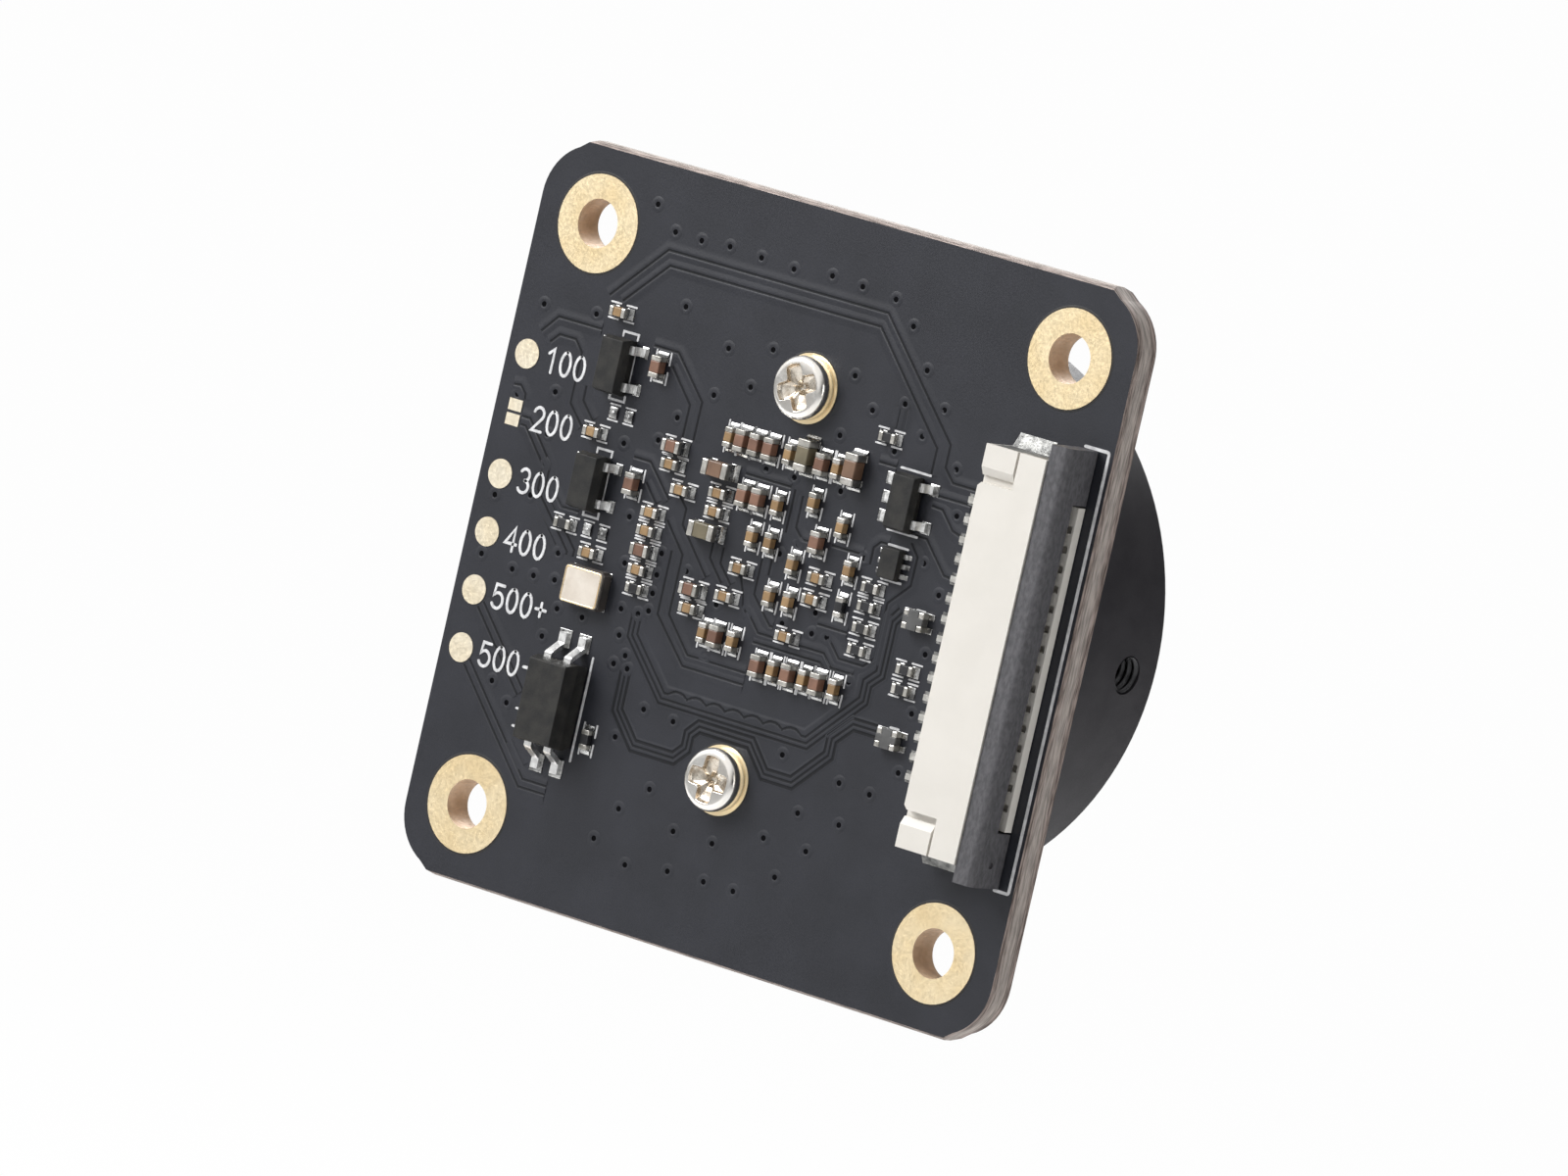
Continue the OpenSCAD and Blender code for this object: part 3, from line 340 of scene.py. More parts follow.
def board_finish():
    """Solder mask on the board's faces and bare laminate on its cut edges. The laminate
    is streaked along the board, and palest halfway between the faces, where its weave
    is torn: there the pale tone's share falls smoothly with the distance from the middle."""
    finish, nodes, links, shader, place = new_finish(
        "board_faces_and_edges", (0.02, 0.02, 0.02), 0.4, gloss=mask_gloss)
    streaks = stretched(nodes, links, place, (0.35, 3.0, 0.35))
    torn = grain_node(nodes, links, streaks, (0.07, 0.048, 0.04), (0.37, 0.3, 0.27), 2600, 8000,
                      (0.6, 0.85))
    depth = nodes.new("ShaderNodeSeparateXYZ")
    away = nodes.new("ShaderNodeMath")
    away.operation = "SUBTRACT"
    away.inputs[1].default_value = board_thickness / 2
    far = nodes.new("ShaderNodeMath")
    far.operation = "ABSOLUTE"
    middle = nodes.new("ShaderNodeMapRange")
    middle.interpolation_type = "SMOOTHSTEP"
    for socket, value in (("From Min", 0.0001), ("From Max", 0.0007), ("To Min", 0.22), ("To Max", 0.0)):
        middle.inputs[socket].default_value = value
    pale = nodes.new("ShaderNodeMix")
    pale.data_type = "RGBA"
    pale.inputs[7].default_value = (0.85, 0.82, 0.76, 1)
    links.new(place, depth.inputs[0])
    links.new(depth.outputs["Y"], away.inputs[0])
    links.new(away.outputs[0], far.inputs[0])
    links.new(far.outputs[0], middle.inputs["Value"])
    links.new(middle.outputs["Result"], pale.inputs[0])
    links.new(torn.outputs["Colour"], pale.inputs[6])

    face = grain_node(nodes, links, place, *mask_look)
    colour, rough, height, _ = two_zones(
        nodes, links, place, 0.9, (pale.outputs[2], torn.outputs["Roughness"], torn.outputs["Height"]),
        (face.outputs["Colour"], face.outputs["Roughness"], face.outputs["Height"]))
    links.new(colour, shader.inputs["Base Color"])
    links.new(rough, shader.inputs["Roughness"])
    relief(nodes, links, height, mask_bump)
    return finish


dress("circuit_board", board_finish())


# ---------------------------------------------------------------- tracks under the mask
# The copper lies under the mask, so that the gaps between the tracks and the
# copper plane show as shallow grooves. The two fast pairs run as three grooves,
# and the upper pair's inner one waves to make both of its tracks equally long.
def on_board(x, y, z):
    """Board frame in millimetres to metres: x right, y up, z out of the component side."""
    return np.stack([x, -z, y], axis=-1) * 1e-3


def ribbon(path, across, heights, round_ends=True):
    """A profile carried along a path on the board: each row of points lies across
    the path, on the mitre of its two legs. Round ends narrow like a half circle."""
    path = np.asarray(path, float)
    legs = np.diff(path, axis=0)
    legs /= np.linalg.norm(legs, axis=1, keepdims=True)
    tangents = np.concatenate([legs[:1], legs[:-1] + legs[1:], legs[-1:]])
    tangents /= np.linalg.norm(tangents, axis=1, keepdims=True)
    mitre = np.ones(len(path))
    mitre[1:-1] = 1 / np.clip(np.sum(tangents[1:-1] * legs[1:], axis=1), 0.5, 1)
    widths = np.ones(len(path))
    if round_ends:
        turn = np.array([0.25, 0.6, 0.85])
        beyond = np.max(across) * np.sqrt(1 - turn[:, None] ** 2)
        path = np.concatenate([path[:1] - tangents[:1] * beyond, path,
                               path[-1:] + tangents[-1:] * beyond[::-1]])
        tangents = np.concatenate([np.repeat(tangents[:1], len(turn), 0), tangents,
                                   np.repeat(tangents[-1:], len(turn), 0)])
        mitre = np.concatenate([np.ones(len(turn)), mitre, np.ones(len(turn))])
        widths = np.concatenate([turn, widths, turn[::-1]])
    normal = np.stack([-tangents[:, 1], tangents[:, 0]], axis=1)
    reach = (mitre * widths)[:, None] * np.asarray(across)[None, :]
    x = path[:, :1] + normal[:, :1] * reach
    y = path[:, 1:] + normal[:, 1:] * reach
    return on_board(x, y, np.broadcast_to(np.asarray(heights, float), x.shape))


def join_grids(name, grids, finish, wrap=False, smooth=True):
    """One mesh from many grids of points, with faces that point out of the board."""
    points, faces, start = [], [], 0
    for grid in grids:
        rows, columns = grid.shape[:2]
        index = start + np.arange(rows * columns).reshape(rows, columns)
        if wrap:
            index = np.concatenate([index, index[:1]])
        quads = np.stack([index[:-1, 1:], index[:-1, :-1], index[1:, :-1], index[1:, 1:]], axis=-1)
        points.append(grid.reshape(-1, 3))
        faces.append(quads.reshape(-1, 4))
        start += rows * columns
    thing = add_mesh(name, np.concatenate(points), np.concatenate(faces), finish)
    thing.data.polygons.foreach_set("use_smooth", np.full(len(thing.data.polygons), smooth))
    if wrap:
        thing.modifiers.new("poles", "WELD").merge_threshold = 1e-7
    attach(thing, "module")
    return thing


def second_finish(thing, finish, faces):
    """Gives a mesh another finish on those of its faces where the list says one."""
    thing.data.materials.append(finish)
    thing.data.polygons.foreach_set("material_index", np.asarray(faces).astype(np.int32))


# What lies on the board starts this far above it, in millimetres.
lift = 0.001


def groove_heights(across, centres, ramp, rise):
    """Heights of a strip of mask at points across it, with one dip at each centre: a smooth
    step over the ramp's width up to the rise at either side, less a bell curve almost as
    deep as the rise at each dip. The centres may differ from row to row. The second result
    is the bell curves' sum, at most one."""
    bell_width, left_at_dip = 0.075, 0.002
    t = np.clip(np.minimum(across - across[0], across[-1] - across) / ramp, 0, 1)
    gap = across[None, :, None] - np.asarray(centres)[..., None, :]
    dips = np.minimum(np.exp(-(gap / bell_width) ** 2).sum(axis=-1), 1)
    return lift + rise * t * t * (3 - 2 * t) - (rise - left_at_dip) * dips * t, dips


def cut_groove(path, centres, margin=0.5, ramp=0.42, rise=0.034):
    """A strip of mask along a path, and which of its faces lie at the bottom of a dip:
    those where the mean of the bell curves at their corners is over the share."""
    spacing, bottom_share = 0.033, 0.42
    low, high = np.min(centres) - margin, np.max(centres) + margin
    across = np.linspace(low, high, int(round((high - low) / spacing)) + 1)
    heights, dips = (np.broadcast_to(values, (len(path), len(across)))
                     for values in groove_heights(across, centres, ramp, rise))
    mean = 0.25 * (dips[1:, 1:] + dips[:-1, 1:] + dips[1:, :-1] + dips[:-1, :-1])
    return ribbon(path, across, heights, False), (mean > bottom_share).ravel()


single_grooves = [
    [(-13.3, 11.7), (-10.3, 14.7), (3.75, 14.7), (9.2, 9.3), (9.2, 8.15), (9.85, 7.5), (11.4, 7.5)],
    [(-12.4, 11.6), (-10, 13.95), (3.5, 13.95), (8.45, 8.95), (8.45, 7.6)],
    [(-17, 9), (-16.1, 9.95), (-13.3, 9.95)],
    [(-16.3, 8.6), (-15.8, 9.1), (-14.75, 9.1), (-14.2, 8.55), (-14.2, 5.95), (-13.2, 4.95)],
    [(-13.45, 7), (-13.45, 6.25), (-12.6, 5.4)],
    [(-9.9, 9.9), (-8.3, 9.9), (-6.2, 7.85), (-6.2, 5.9)],
    [(-8.5, 9.15), (-6.9, 7.55), (-6.9, 5.9)],
    [(-17.95, 6.05), (-17.5, 6.1), (-17.1, 5.75), (-17.05, 5.45)],
    [(-14.1, 1.5), (-13.35, 0.8), (-12.2, 0.8)],
    [(-9.6, 4.25), (-8.5, 4.25), (-6.9, 2.7)],
    [(-8.5, 3.2), (-7.6, 2.3)],
    [(-6.4, 3.2), (-5.7, 2.5), (-5.7, 1.7), (-3.6, -0.5)],
    [(-6.7, 1.7), (-5.3, 0.25), (-5.3, -2.8), (-3.65, -4.5), (0.1, -4.5)],
    [(-6, 0.3), (-6, -2.95), (-3.8, -5.1), (0.1, -5.1)],
    [(-3.6, 1.4), (-3.6, 0.5), (-2.6, -0.55)],
    [(-2.9, 1.2), (-2.9, 0.4), (-2, -0.5)],
    [(-1.5, 0.1), (-1.15, -0.7), (-1, -1.3), (-0.6, -1.7)],
    [(-0.45, 1.4), (-0.45, -0.6), (0.9, -1.9), (1.1, -1.9)],
    [(0.15, 1.3), (0.15, 0.5)],
    [(-0.6, -1.5), (0.3, -2.4), (4.5, -2.4), (5.1, -3), (6.5, -3)],
    [(0.1, -2.9), (4.4, -2.9), (4.8, -3.2)],
    [(4.6, -1.6), (5.45, -2.45), (7, -2.45), (7.6, -1.9), (7.6, 0.9), (8.75, 2.05), (8.75, 3.5), (8.2, 4.1)],
    [(3.7, -1.1), (5.6, -1.1)],
    [(-2.6, 5.05), (0.3, 5.05)],
    [(0.6, 5), (0.6, 2.8)],
    [(1.15, 4.8), (1.15, 3.2), (1.65, 2.7), (2.2, 2.7)],
    [(3.5, 2.85), (5.5, 2.85)],
    [(8.9, 6.7), (11.2, 6.7)],
    [(8.9, 6.15), (9.6, 6.1), (10.45, 5.25), (11.2, 5.05)],
    [(8.3, 4.55), (9.05, 4.5), (10.55, 3), (11.2, 2.95)],
    [(6.05, 2.5), (6.05, 3.35), (6.4, 3.7), (6.9, 3.7)],
    [(5.2, 7.5), (6.3, 7.5)],
    [(5.8, 10.4), (5.8, 9.35)], [(6.15, 10.4), (6.15, 9.35)],
    [(-13.2, -11.2), (-12.1, -12.3)],
]
wide_tracks = [
    [(-17, 4.4), (-16.55, 4.4), (-14.8, 2.6), (-14.8, 1.4), (-12.15, -1.2), (-12.15, -1.45)],
    [(-16.95, -5.1), (-13.3, -8.8)],
    [(-17, -8.1), (-12.05, -13.15), (-10.4, -13.15)],
]
lower_pair = [
    (-7.15, -6.2), (-7.15, -8.15), (-5.7, -9.65), (-3.1, -9.65), (-2.45, -9), (-2.45, -8.25),
    (-1.95, -7.75), (1.35, -7.75), (2.55, -9.05), (4.3, -9.05), (6.15, -7.2), (6.15, -6.35),
    (7.2, -5.35), (8.7, -5.35),
]
upper_pair_start = [(-7.25, -3.3), (-7.25, -4.35), (-4.65, -6.95)]
upper_pair_end = [(4.65, -6.95), (7.5, -4.1), (7.5, -3.2), (8.15, -2.6), (8.15, 0.1), (8.6, 0.65)]
wide_gap, pair_centres = (-0.21, 0.21), (-0.28, 0.0, 0.28)
pair_edges = {"margin": 0.22, "ramp": 0.2, "rise": 0.024}
strips = [cut_groove(path, (0.0,)) for path in single_grooves]
strips += [cut_groove(path, wide_gap) for path in wide_tracks]
strips.append(cut_groove(lower_pair, pair_centres, **pair_edges))

# Between its two bends the upper pair's inner groove is scalloped: its distance from
# the middle one grows by the wave's height times the size of a sine to the power 0.8.
wave_height, wave_length, wave_start = 0.25, 1.22, -4.27
wave_x = np.arange(-4.25, 4.26, 0.05)
upper_pair = np.concatenate([upper_pair_start, np.stack([wave_x, np.full(len(wave_x), -6.95)], axis=1),
                             upper_pair_end])
centres = np.tile(pair_centres, (len(upper_pair), 1))
first = len(upper_pair_start)
wave = np.abs(np.sin((wave_x - wave_start) * np.pi / wave_length)) ** 0.8
centres[first:first + len(wave_x), 2] += wave_height * wave
strips.append(cut_groove(upper_pair, centres, **pair_edges))
grooves, bottoms = zip(*strips)
tracks = join_grids("track_grooves", grooves, mask)
# The bottoms of the grooves hold no copper and look darker through the mask.
second_finish(tracks, grained("mask_over_laminate", (0.005, 0.0055, 0.007), (0.008, 0.0085, 0.011),
                              300, 9000, (0.5, 0.65), 0.2, gloss=0.2), np.concatenate(bottoms))


# ---------------------------------------------------------------- vias
# Small plated holes that join the board's layers of copper, closed by the mask,
# which sinks into each of them a little.
def circle_ribbon(x, y, radii, heights, sides):
    """A profile carried once round a point on the board: its points lie at these radii
    from that point, at these heights, and turn round it in equal steps."""
    turn = np.linspace(0, 2 * np.pi, sides, endpoint=False)[:, None]
    return on_board(x + np.cos(turn) * radii, y + np.sin(turn) * radii,
                    np.broadcast_to(np.asarray(heights, float), (sides, len(heights))))


via_places = np.array([
    (-11.6, 16.75), (-10.15, 15.65), (-8.45, 15.6), (-6.65, 15.7), (-4.6, 15.6), (-2.5, 15.5), (-0.1, 15.7),
    (1.85, 15.6), (4, 15.45), (5.4, 14.4), (6.8, 12.5), (8.35, 10.85), (7.4, 9.3), (5.95, 10.6), (9.85, 8.2),
    (-8.5, 12.2), (-13.85, 10.6), (-17.2, 10.35), (-5.35, 10.8), (-2.65, 11.35), (-3.5, 9.25), (-5.6, 8.35),
    (2.6, 11.25), (4.1, 9.85), (2.5, 8.2), (-7.5, 6.75), (-17.6, 5.6), (-15.3, 6.25), (-10.4, 4.75),
    (-8.35, 5.4), (-15.5, -2.95), (-14.1, -2.95), (-12.75, -2.85), (-12.9, -1.5), (-12.2, -4.2),
    (-10.55, -4.25), (-8.3, -3.25), (-8.05, -4.55), (-12.75, -5.75), (-9.05, 1.3), (-8.7, -1), (10.5, 6),
    (9.2, 3.3), (10.5, 2), (10.5, -1), (10.5, -4), (10.5, -7), (-15.2, -8.65), (-14, -9.5), (-6.9, -9.5),
    (-6.8, -14.7), (-5.55, -7.75), (-3.6, -7.9), (3.4, -7.85), (-4.1, -11.5), (-5.7, -12.9), (-2.1, -13.15),
    (0.4, -13.15), (3.4, -12.1), (5.1, -10.4), (4.6, -13.8), (-4.55, -15.5), (-1.9, -15.15), (0.4, -15.1),
    (2.3, -15.1), (7.15, -8.35), (9.1, -8.45), (7.7, -10.35), (6.1, -12.1), (-17.6, 0.4), (-17.6, -2.65),
    (-15.4, 0.9), (-15.2, 4.1), (-7.2, -3.25), (-6.6, -2.95), (-7.4, -5.45), (-8, -6), (-7.1, -6.05),
    (3.5, -1.65), (4.45, -1.6), (6.35, -3.4), (-4.85, -0.5), (-2.6, -4.3), (-2.6, -1.65), (-0.7, -1.55),
    (1.5, 2.4), (0.5, 1.7), (5.6, 2.7), (-1.45, 5.55), (0.35, 5.55), (3.3, 5.55), (-6.6, -2.05),
    (-6.6, -1.1), (-6.6, 0), (3.45, -0.6), (1.6, -1.6), (5.95, 8.2), (-14.9, 2.6)])
via_sides = 20
via_radii = np.array([0.42, 0.33, 0.25, 0.19, 0.145, 0.09, 0.0])
via_heights = np.array([lift, 0.018, 0.026, 0.022, 0.006, 0.003, 0.003])
sunken_bands = np.array([0, 0, 0, 0, 1, 1])
# On the back, the lens mount covers the vias whose distance from the middle is less.
covered = 15.3
far = via_places[np.hypot(via_places[:, 0], via_places[:, 1]) > covered]
board_back = -board_thickness * 1e3
via_grids = [circle_ribbon(px, py, via_radii, via_heights, via_sides) for px, py in via_places]
via_grids += [circle_ribbon(px, py, via_radii[::-1], board_back - via_heights[::-1], via_sides)
              for px, py in far]
vias = join_grids("vias", via_grids, mask, wrap=True)
second_finish(vias, grained("sunken_mask", (0.0015, 0.0015, 0.002), (0.003, 0.003, 0.004), 300, 9000,
                            (0.8, 0.9), 0.1, gloss=0.05),
              np.concatenate([np.tile(sunken_bands, via_sides * len(via_places)),
                              np.tile(sunken_bands[::-1], via_sides * len(far))]))


# ---------------------------------------------------------------- mask openings
# The mask stops short of the rings and of the pads under the screws, which
# leaves a thin dark line of bare laminate round each.
bare = grained("bare_laminate", (0.006, 0.006, 0.007), (0.012, 0.011, 0.011), 700, 9000, (0.5, 0.7), 0.2)
# Radii of the bare line from its outer edge inwards: it ends at the copper.
round_rings, round_pads = 2.5 + np.array([0.13, 0.1, 0.0]), 1.775 + np.array([0.1, 0.08, 0.0])
gap_heights, gap_sides = (lift, 0.012, 0.004), 96
gaps = [circle_ribbon(x, y, round_rings, gap_heights, gap_sides) for x in (-15, 15) for y in (-15, 15)]
gaps += [circle_ribbon(0, y, round_pads, gap_heights, gap_sides) for y in (-10, 10)]
join_grids("mask_openings", gaps, bare, wrap=True)


# ---------------------------------------------------------------- white ink
# Screen-printed marks on the mask: brackets round the parts, and plain numbers
# beside the test pads.
ink = grained("white_ink", (0.5, 0.5, 0.51), (0.7, 0.7, 0.71), 2500, 12000, (0.6, 0.8), 0.4)
ink_height, ink_edge, fine_line = 0.04, 0.01, 0.13


def rounded_path(points, radius):
    """The corners of a path replaced by quadratic curves that start and end at most
    radius away from the corner, or at half the way to the next corner."""
    points = np.asarray(points, float)
    path = [points[:1]]
    for before, corner, after in zip(points[:-2], points[1:-1], points[2:]):
        legs = [before - corner, after - corner]
        ends = [corner + leg * min(radius / np.linalg.norm(leg), 0.5) for leg in legs]
        t = np.linspace(0, 1, 5)[:, None]
        path.append((1 - t) ** 2 * ends[0] + 2 * t * (1 - t) * corner + t ** 2 * ends[1])
    path = np.concatenate(path + [points[-1:]])
    apart = np.linalg.norm(np.diff(path, axis=0), axis=1) > 1e-4
    return path[np.concatenate([[True], apart])]


def inked(path, width):
    """A flat line of ink carried along a path, with round ends, that covers the grooves."""
    half = width / 2
    return ribbon(path, np.array([-half, -half + ink_edge, half - ink_edge, half]),
                  (lift, ink_height, ink_height, lift))


def stroke_arc(cx, cy, rx, ry, start, end):
    """Points on an ellipse between two angles in degrees, for a numeral's curved stroke."""
    turn = np.radians(np.linspace(start, end, 17))
    return np.stack([cx + rx * np.cos(turn), cy + ry * np.sin(turn)], axis=1).tolist()


numerals = {
    "0": [stroke_arc(0.3, 0.5, 0.27, 0.5, 90, 450)],
    "1": [[(0.12, 0.78), (0.38, 1), (0.38, 0)]],
    "2": [stroke_arc(0.3, 0.73, 0.27, 0.27, 165, -35) + [(0.04, 0), (0.58, 0)]],
    "3": [stroke_arc(0.28, 0.75, 0.25, 0.25, 150, -80), stroke_arc(0.28, 0.26, 0.29, 0.27, 80, -150)],
    "4": [[(0.45, 0), (0.45, 1), (0, 0.3), (0.62, 0.3)]],
    "5": [[(0.54, 1), (0.1, 1), (0.05, 0.55)] + stroke_arc(0.28, 0.34, 0.3, 0.33, 125, -150)],
    "+": [[(0.05, 0.5), (0.6, 0.5)], [(0.325, 0.22), (0.325, 0.78)]],
    "-": [[(0.1, 0.5), (0.5, 0.5)]],
}


def number(text, x, y):
    """Lines of ink for a number whose left end and middle height are given: each
    numeral's strokes are scaled by the height and set one pitch apart."""
    height, narrow, pitch, line = 1.2, 0.95, 0.92, 0.165
    return [inked(np.asarray(stroke) * height * (narrow, 1.0) + (x + place * pitch, y - height / 2), line)
            for place, sign in enumerate(text) for stroke in numerals[sign]]


marks = []
for text, y in (("100", 7.72), ("200", 4.68), ("300", 1.5), ("400", -1.5), ("500+", -4.5), ("500-", -7.5)):
    marks += number(text, -16.3, y)
# Brackets at both ends of the two left regulators, and a line along each of them.
left, right, near, corner, side = -11.9, -10.95, 1.5, 1.72, 1.45
lines = []
for y in (8.45, 2.45):
    lines += [[(left, y + s * near), (left, y + s * corner), (right, y + s * corner), (right, y + s * side)]
              for s in (-1, 1)]
    lines.append([(-10.93, y - 1.0), (-10.93, y + 1.0)])
# Lines at the ends of the right-hand regulator and of the switch, along the
# optocoupler and at its left side, and at the upper ends of the two chip arrays.
lines += [[(6.6, y), (8.45, y)] for y in (7.55, 4.43)]
lines += [[(6.9, y), (8.1, y)] for y in (3.72, 2.0)]
lines.append([(-9.3, -6.05), (-9.3, -11.35)])
lines += [[(-13.3, y), (-12.9, y)] for y in (-9.6, -10.5)]
lines += [[(9.45, y), (9.95, y)] for y in (1.0, -4.95)]
marks += [inked(line, fine_line) for line in lines]
# A bracket between the cable connector and the board's edge.
marks.append(inked(rounded_path([(17.1, 11.1), (18.57, 11.1), (18.57, -11.1), (17.7, -11.1)], 0.15), 0.17))
join_grids("printed_marks", marks, ink, smooth=False)

# Each small chip has two dashes of ink along either side.
small_across = [(-12.25, 11.05), (-12.25, 4.9), (-7.05, 4.45), (-7.6, 1.85), (-7.6, 0.9), (-7.6, -1.1),
                (-6.1, 3.35), (-10.85, -1), (-3.75, 3.75), (-3.75, 2.8), (-1.5, 0.45), (-2, -1.1), (-4, -2.2),
                (3.3, 1.1), (3.25, 0), (2.15, -2.15), (-12.85, 0.05), (5.55, 8.8), (6.55, 1.4), (6.55, 0.45),
                (6.55, -0.65), (6.55, -1.75), (9.7, -2), (9.7, -3), (-7.6, -2.05), (-10.9, 6.1), (-10.9, 0.1)]
small_upright = [(-3.85, 6.6), (-0.05, 6.6), (3, 6.6), (-0.1, 4), (-1.2, 2.15), (-0.05, 2.1), (0.65, -0.45),
                 (1.85, -0.45), (1.6, 1.4), (2.05, 4.65), (4.05, 3.85), (5.05, 1.9), (-2.8, -3.15),
                 (-0.95, -3.15), (1.85, -3.95), (3.8, -3.95), (5.75, -3.95), (-8.5, -10.05), (4.95, 0.05)]
medium_across = [(-7.1, 5.35), (-7.6, -0.1), (-4.1, -1.25)]
medium_upright = [(-3.05, 6.6), (-2.15, 6.6), (-1.25, 6.6), (2.05, 6.6), (-2.2, 4), (-1.3, 4), (2.8, 2.8),
                  (-2, -3.15), (0.9, -3.95), (2.85, -3.95), (4.7, -3.95), (-9.15, 8.95), (-9.15, 2.95)]
dash_start, dash_end, dash_line, small_away, medium_away = 0.2, 0.8, 0.1, 0.4, 0.46
dashes = []
for places, upright, away in ((small_across, False, small_away), (small_upright, True, small_away),
                              (medium_across, False, medium_away), (medium_upright, True, medium_away)):
    for px, py in places:
        for side in (-away, away):
            for end in (-1, 1):
                dash = [(end * dash_start, side), (end * dash_end, side)]
                if upright:
                    dash = [(v, u) for u, v in dash]
                dashes.append(inked([(px + u, py + v) for u, v in dash], dash_line))
join_grids("chip_marks", dashes, ink, smooth=False)


# ---------------------------------------------------------------- gold plating
# Pads and rings of the board's own copper, nickel plated and covered with a thin
# layer of gold. The walls of the mounting holes are plated too, and duller.
gold_look, gold_bump = ((0.94, 0.75, 0.45), (0.99, 0.83, 0.55), 500, 7000, (0.3, 0.44)), 0.25
dress("screw_pads", grained("gold_plating", *gold_look, gold_bump, 1.0))
dress("test_pads", grained("pale_gold", (0.96, 0.84, 0.62), (0.99, 0.9, 0.72), 500, 7000, (0.3, 0.45),
                           gold_bump, 1.0))


def ring_finish():
    """Gold on the rings' faces, and duller plating on the drilled walls. The metal share
    is the walls' own, plus the rest up to one where the surface is a flat face."""
    finish, nodes, links, shader, place = new_finish("ring_plating", (0.9, 0.7, 0.42), 0.35, 1.0)
    face = grain_node(nodes, links, place, *gold_look)
    drilled = grain_node(nodes, links, place, (0.5, 0.36, 0.24), (0.66, 0.5, 0.36), 900, 7000, (0.55, 0.75))
    colour, rough, flat = two_zones(
        nodes, links, place, 0.5, (drilled.outputs["Colour"], drilled.outputs["Roughness"]),
        (face.outputs["Colour"], face.outputs["Roughness"]))
    wall_metal = 0.15
    metal = nodes.new("ShaderNodeMath")
    metal.operation = "MULTIPLY_ADD"
    metal.inputs[1].default_value, metal.inputs[2].default_value = 1.0 - wall_metal, wall_metal
    links.new(flat, metal.inputs[0])
    links.new(colour, shader.inputs["Base Color"])
    links.new(rough, shader.inputs["Roughness"])
    links.new(metal.outputs[0], shader.inputs["Metallic"])
    relief(nodes, links, face.outputs["Height"], gold_bump)
    return finish


dress("hole_rings", ring_finish())


# ---------------------------------------------------------------- sensor and filter
# A ceramic package with a glass lid on the board's lens side, behind a thin
# coated filter glass that is glued into the floor of the mount.
def glass_finish(name, colour, roughness):
    """Clear glass of the given tint, with a faint haze that varies over it."""
    finish, nodes, links, shader, place = new_finish(name, colour, roughness)
    shader.inputs["Transmission Weight"].default_value = 1.0
    shader.inputs["IOR"].default_value = 1.45
    darker = tuple(c * 0.96 for c in colour)
    haze = grain_node(nodes, links, place, colour, darker, 300, 4000, (roughness, roughness * 2))
    links.new(haze.outputs["Colour"], shader.inputs["Base Color"])
    links.new(haze.outputs["Roughness"], shader.inputs["Roughness"])
    return finish


dress("filter_glass", glass_finish("filter_coating", (0.75, 0.9, 0.92), 0.02))
dress("sensor_cover_glass", glass_finish("cover_glass", (0.97, 0.98, 0.98), 0.01))
dress("sensor_package", grained("dark_ceramic", (0.05, 0.05, 0.055), (0.07, 0.07, 0.075), 500, 9000,
                                (0.5, 0.65), 0.2), 0.04)
dress("sensor_die", grained("silicon", (0.12, 0.1, 0.14), (0.18, 0.14, 0.16), 400, 9000,
                            (0.15, 0.25), 0.05, 0.6))


# ---------------------------------------------------------------- lens mount
# Turned aluminium, blasted and anodised black, with a thread for the lens and a
# small tapped hole in its side for a set screw.
def thread_surface(name, centre, along, span, radius, depth, pitch, finish, sides):
    """The inner face of a tapped hole: at a distance s along the axis and a turn a round it,
    the radius is the hole's, less depth times half of 1 - cos of (2 pi s / pitch - a)."""
    rings_per_pitch = 10
    along = Vector(along).normalized()
    first = along.orthogonal().normalized()
    second = along.cross(first)
    turn = np.linspace(0, 2 * np.pi, sides, endpoint=False)[:, None]
    s = np.linspace(span[1], span[0], int((span[1] - span[0]) / pitch * rings_per_pitch) + 1)[None, :]
    r = radius - depth * (0.5 - 0.5 * np.cos(2 * np.pi * s / pitch - turn))
    points = (np.array(centre) + s[..., None] * np.array(along)
              + (r * np.cos(turn))[..., None] * np.array(first)
              + (r * np.sin(turn))[..., None] * np.array(second))
    return join_grids(name, [points * 1e-3], finish, wrap=True)


anodised = grained("black_anodised", (0.026, 0.0245, 0.0285), (0.034, 0.032, 0.0365), 600, 16000,
                   (0.48, 0.6), 0.5, gloss=0.28)
dress("lens_mount", anodised)
# The set screw's hole is turned two degrees below the horizontal.
worn = grained("cut_thread", (0.03, 0.03, 0.032), (0.07, 0.07, 0.074), 900, 9000, (0.25, 0.4), 0.3, 0.6)
thread_surface("set_screw_thread", centre=(0, 11.7, 0), along=(0.999391, 0, -0.034899), span=(12.75, 14.36),
               radius=0.995, depth=0.16, pitch=0.4, finish=worn, sides=48)
thread_surface("lens_thread", centre=(0, 0, 0), along=(0, 1, 0), span=(7.65, 13.8),
               radius=12.69, depth=0.42, pitch=0.794, finish=anodised, sides=160)


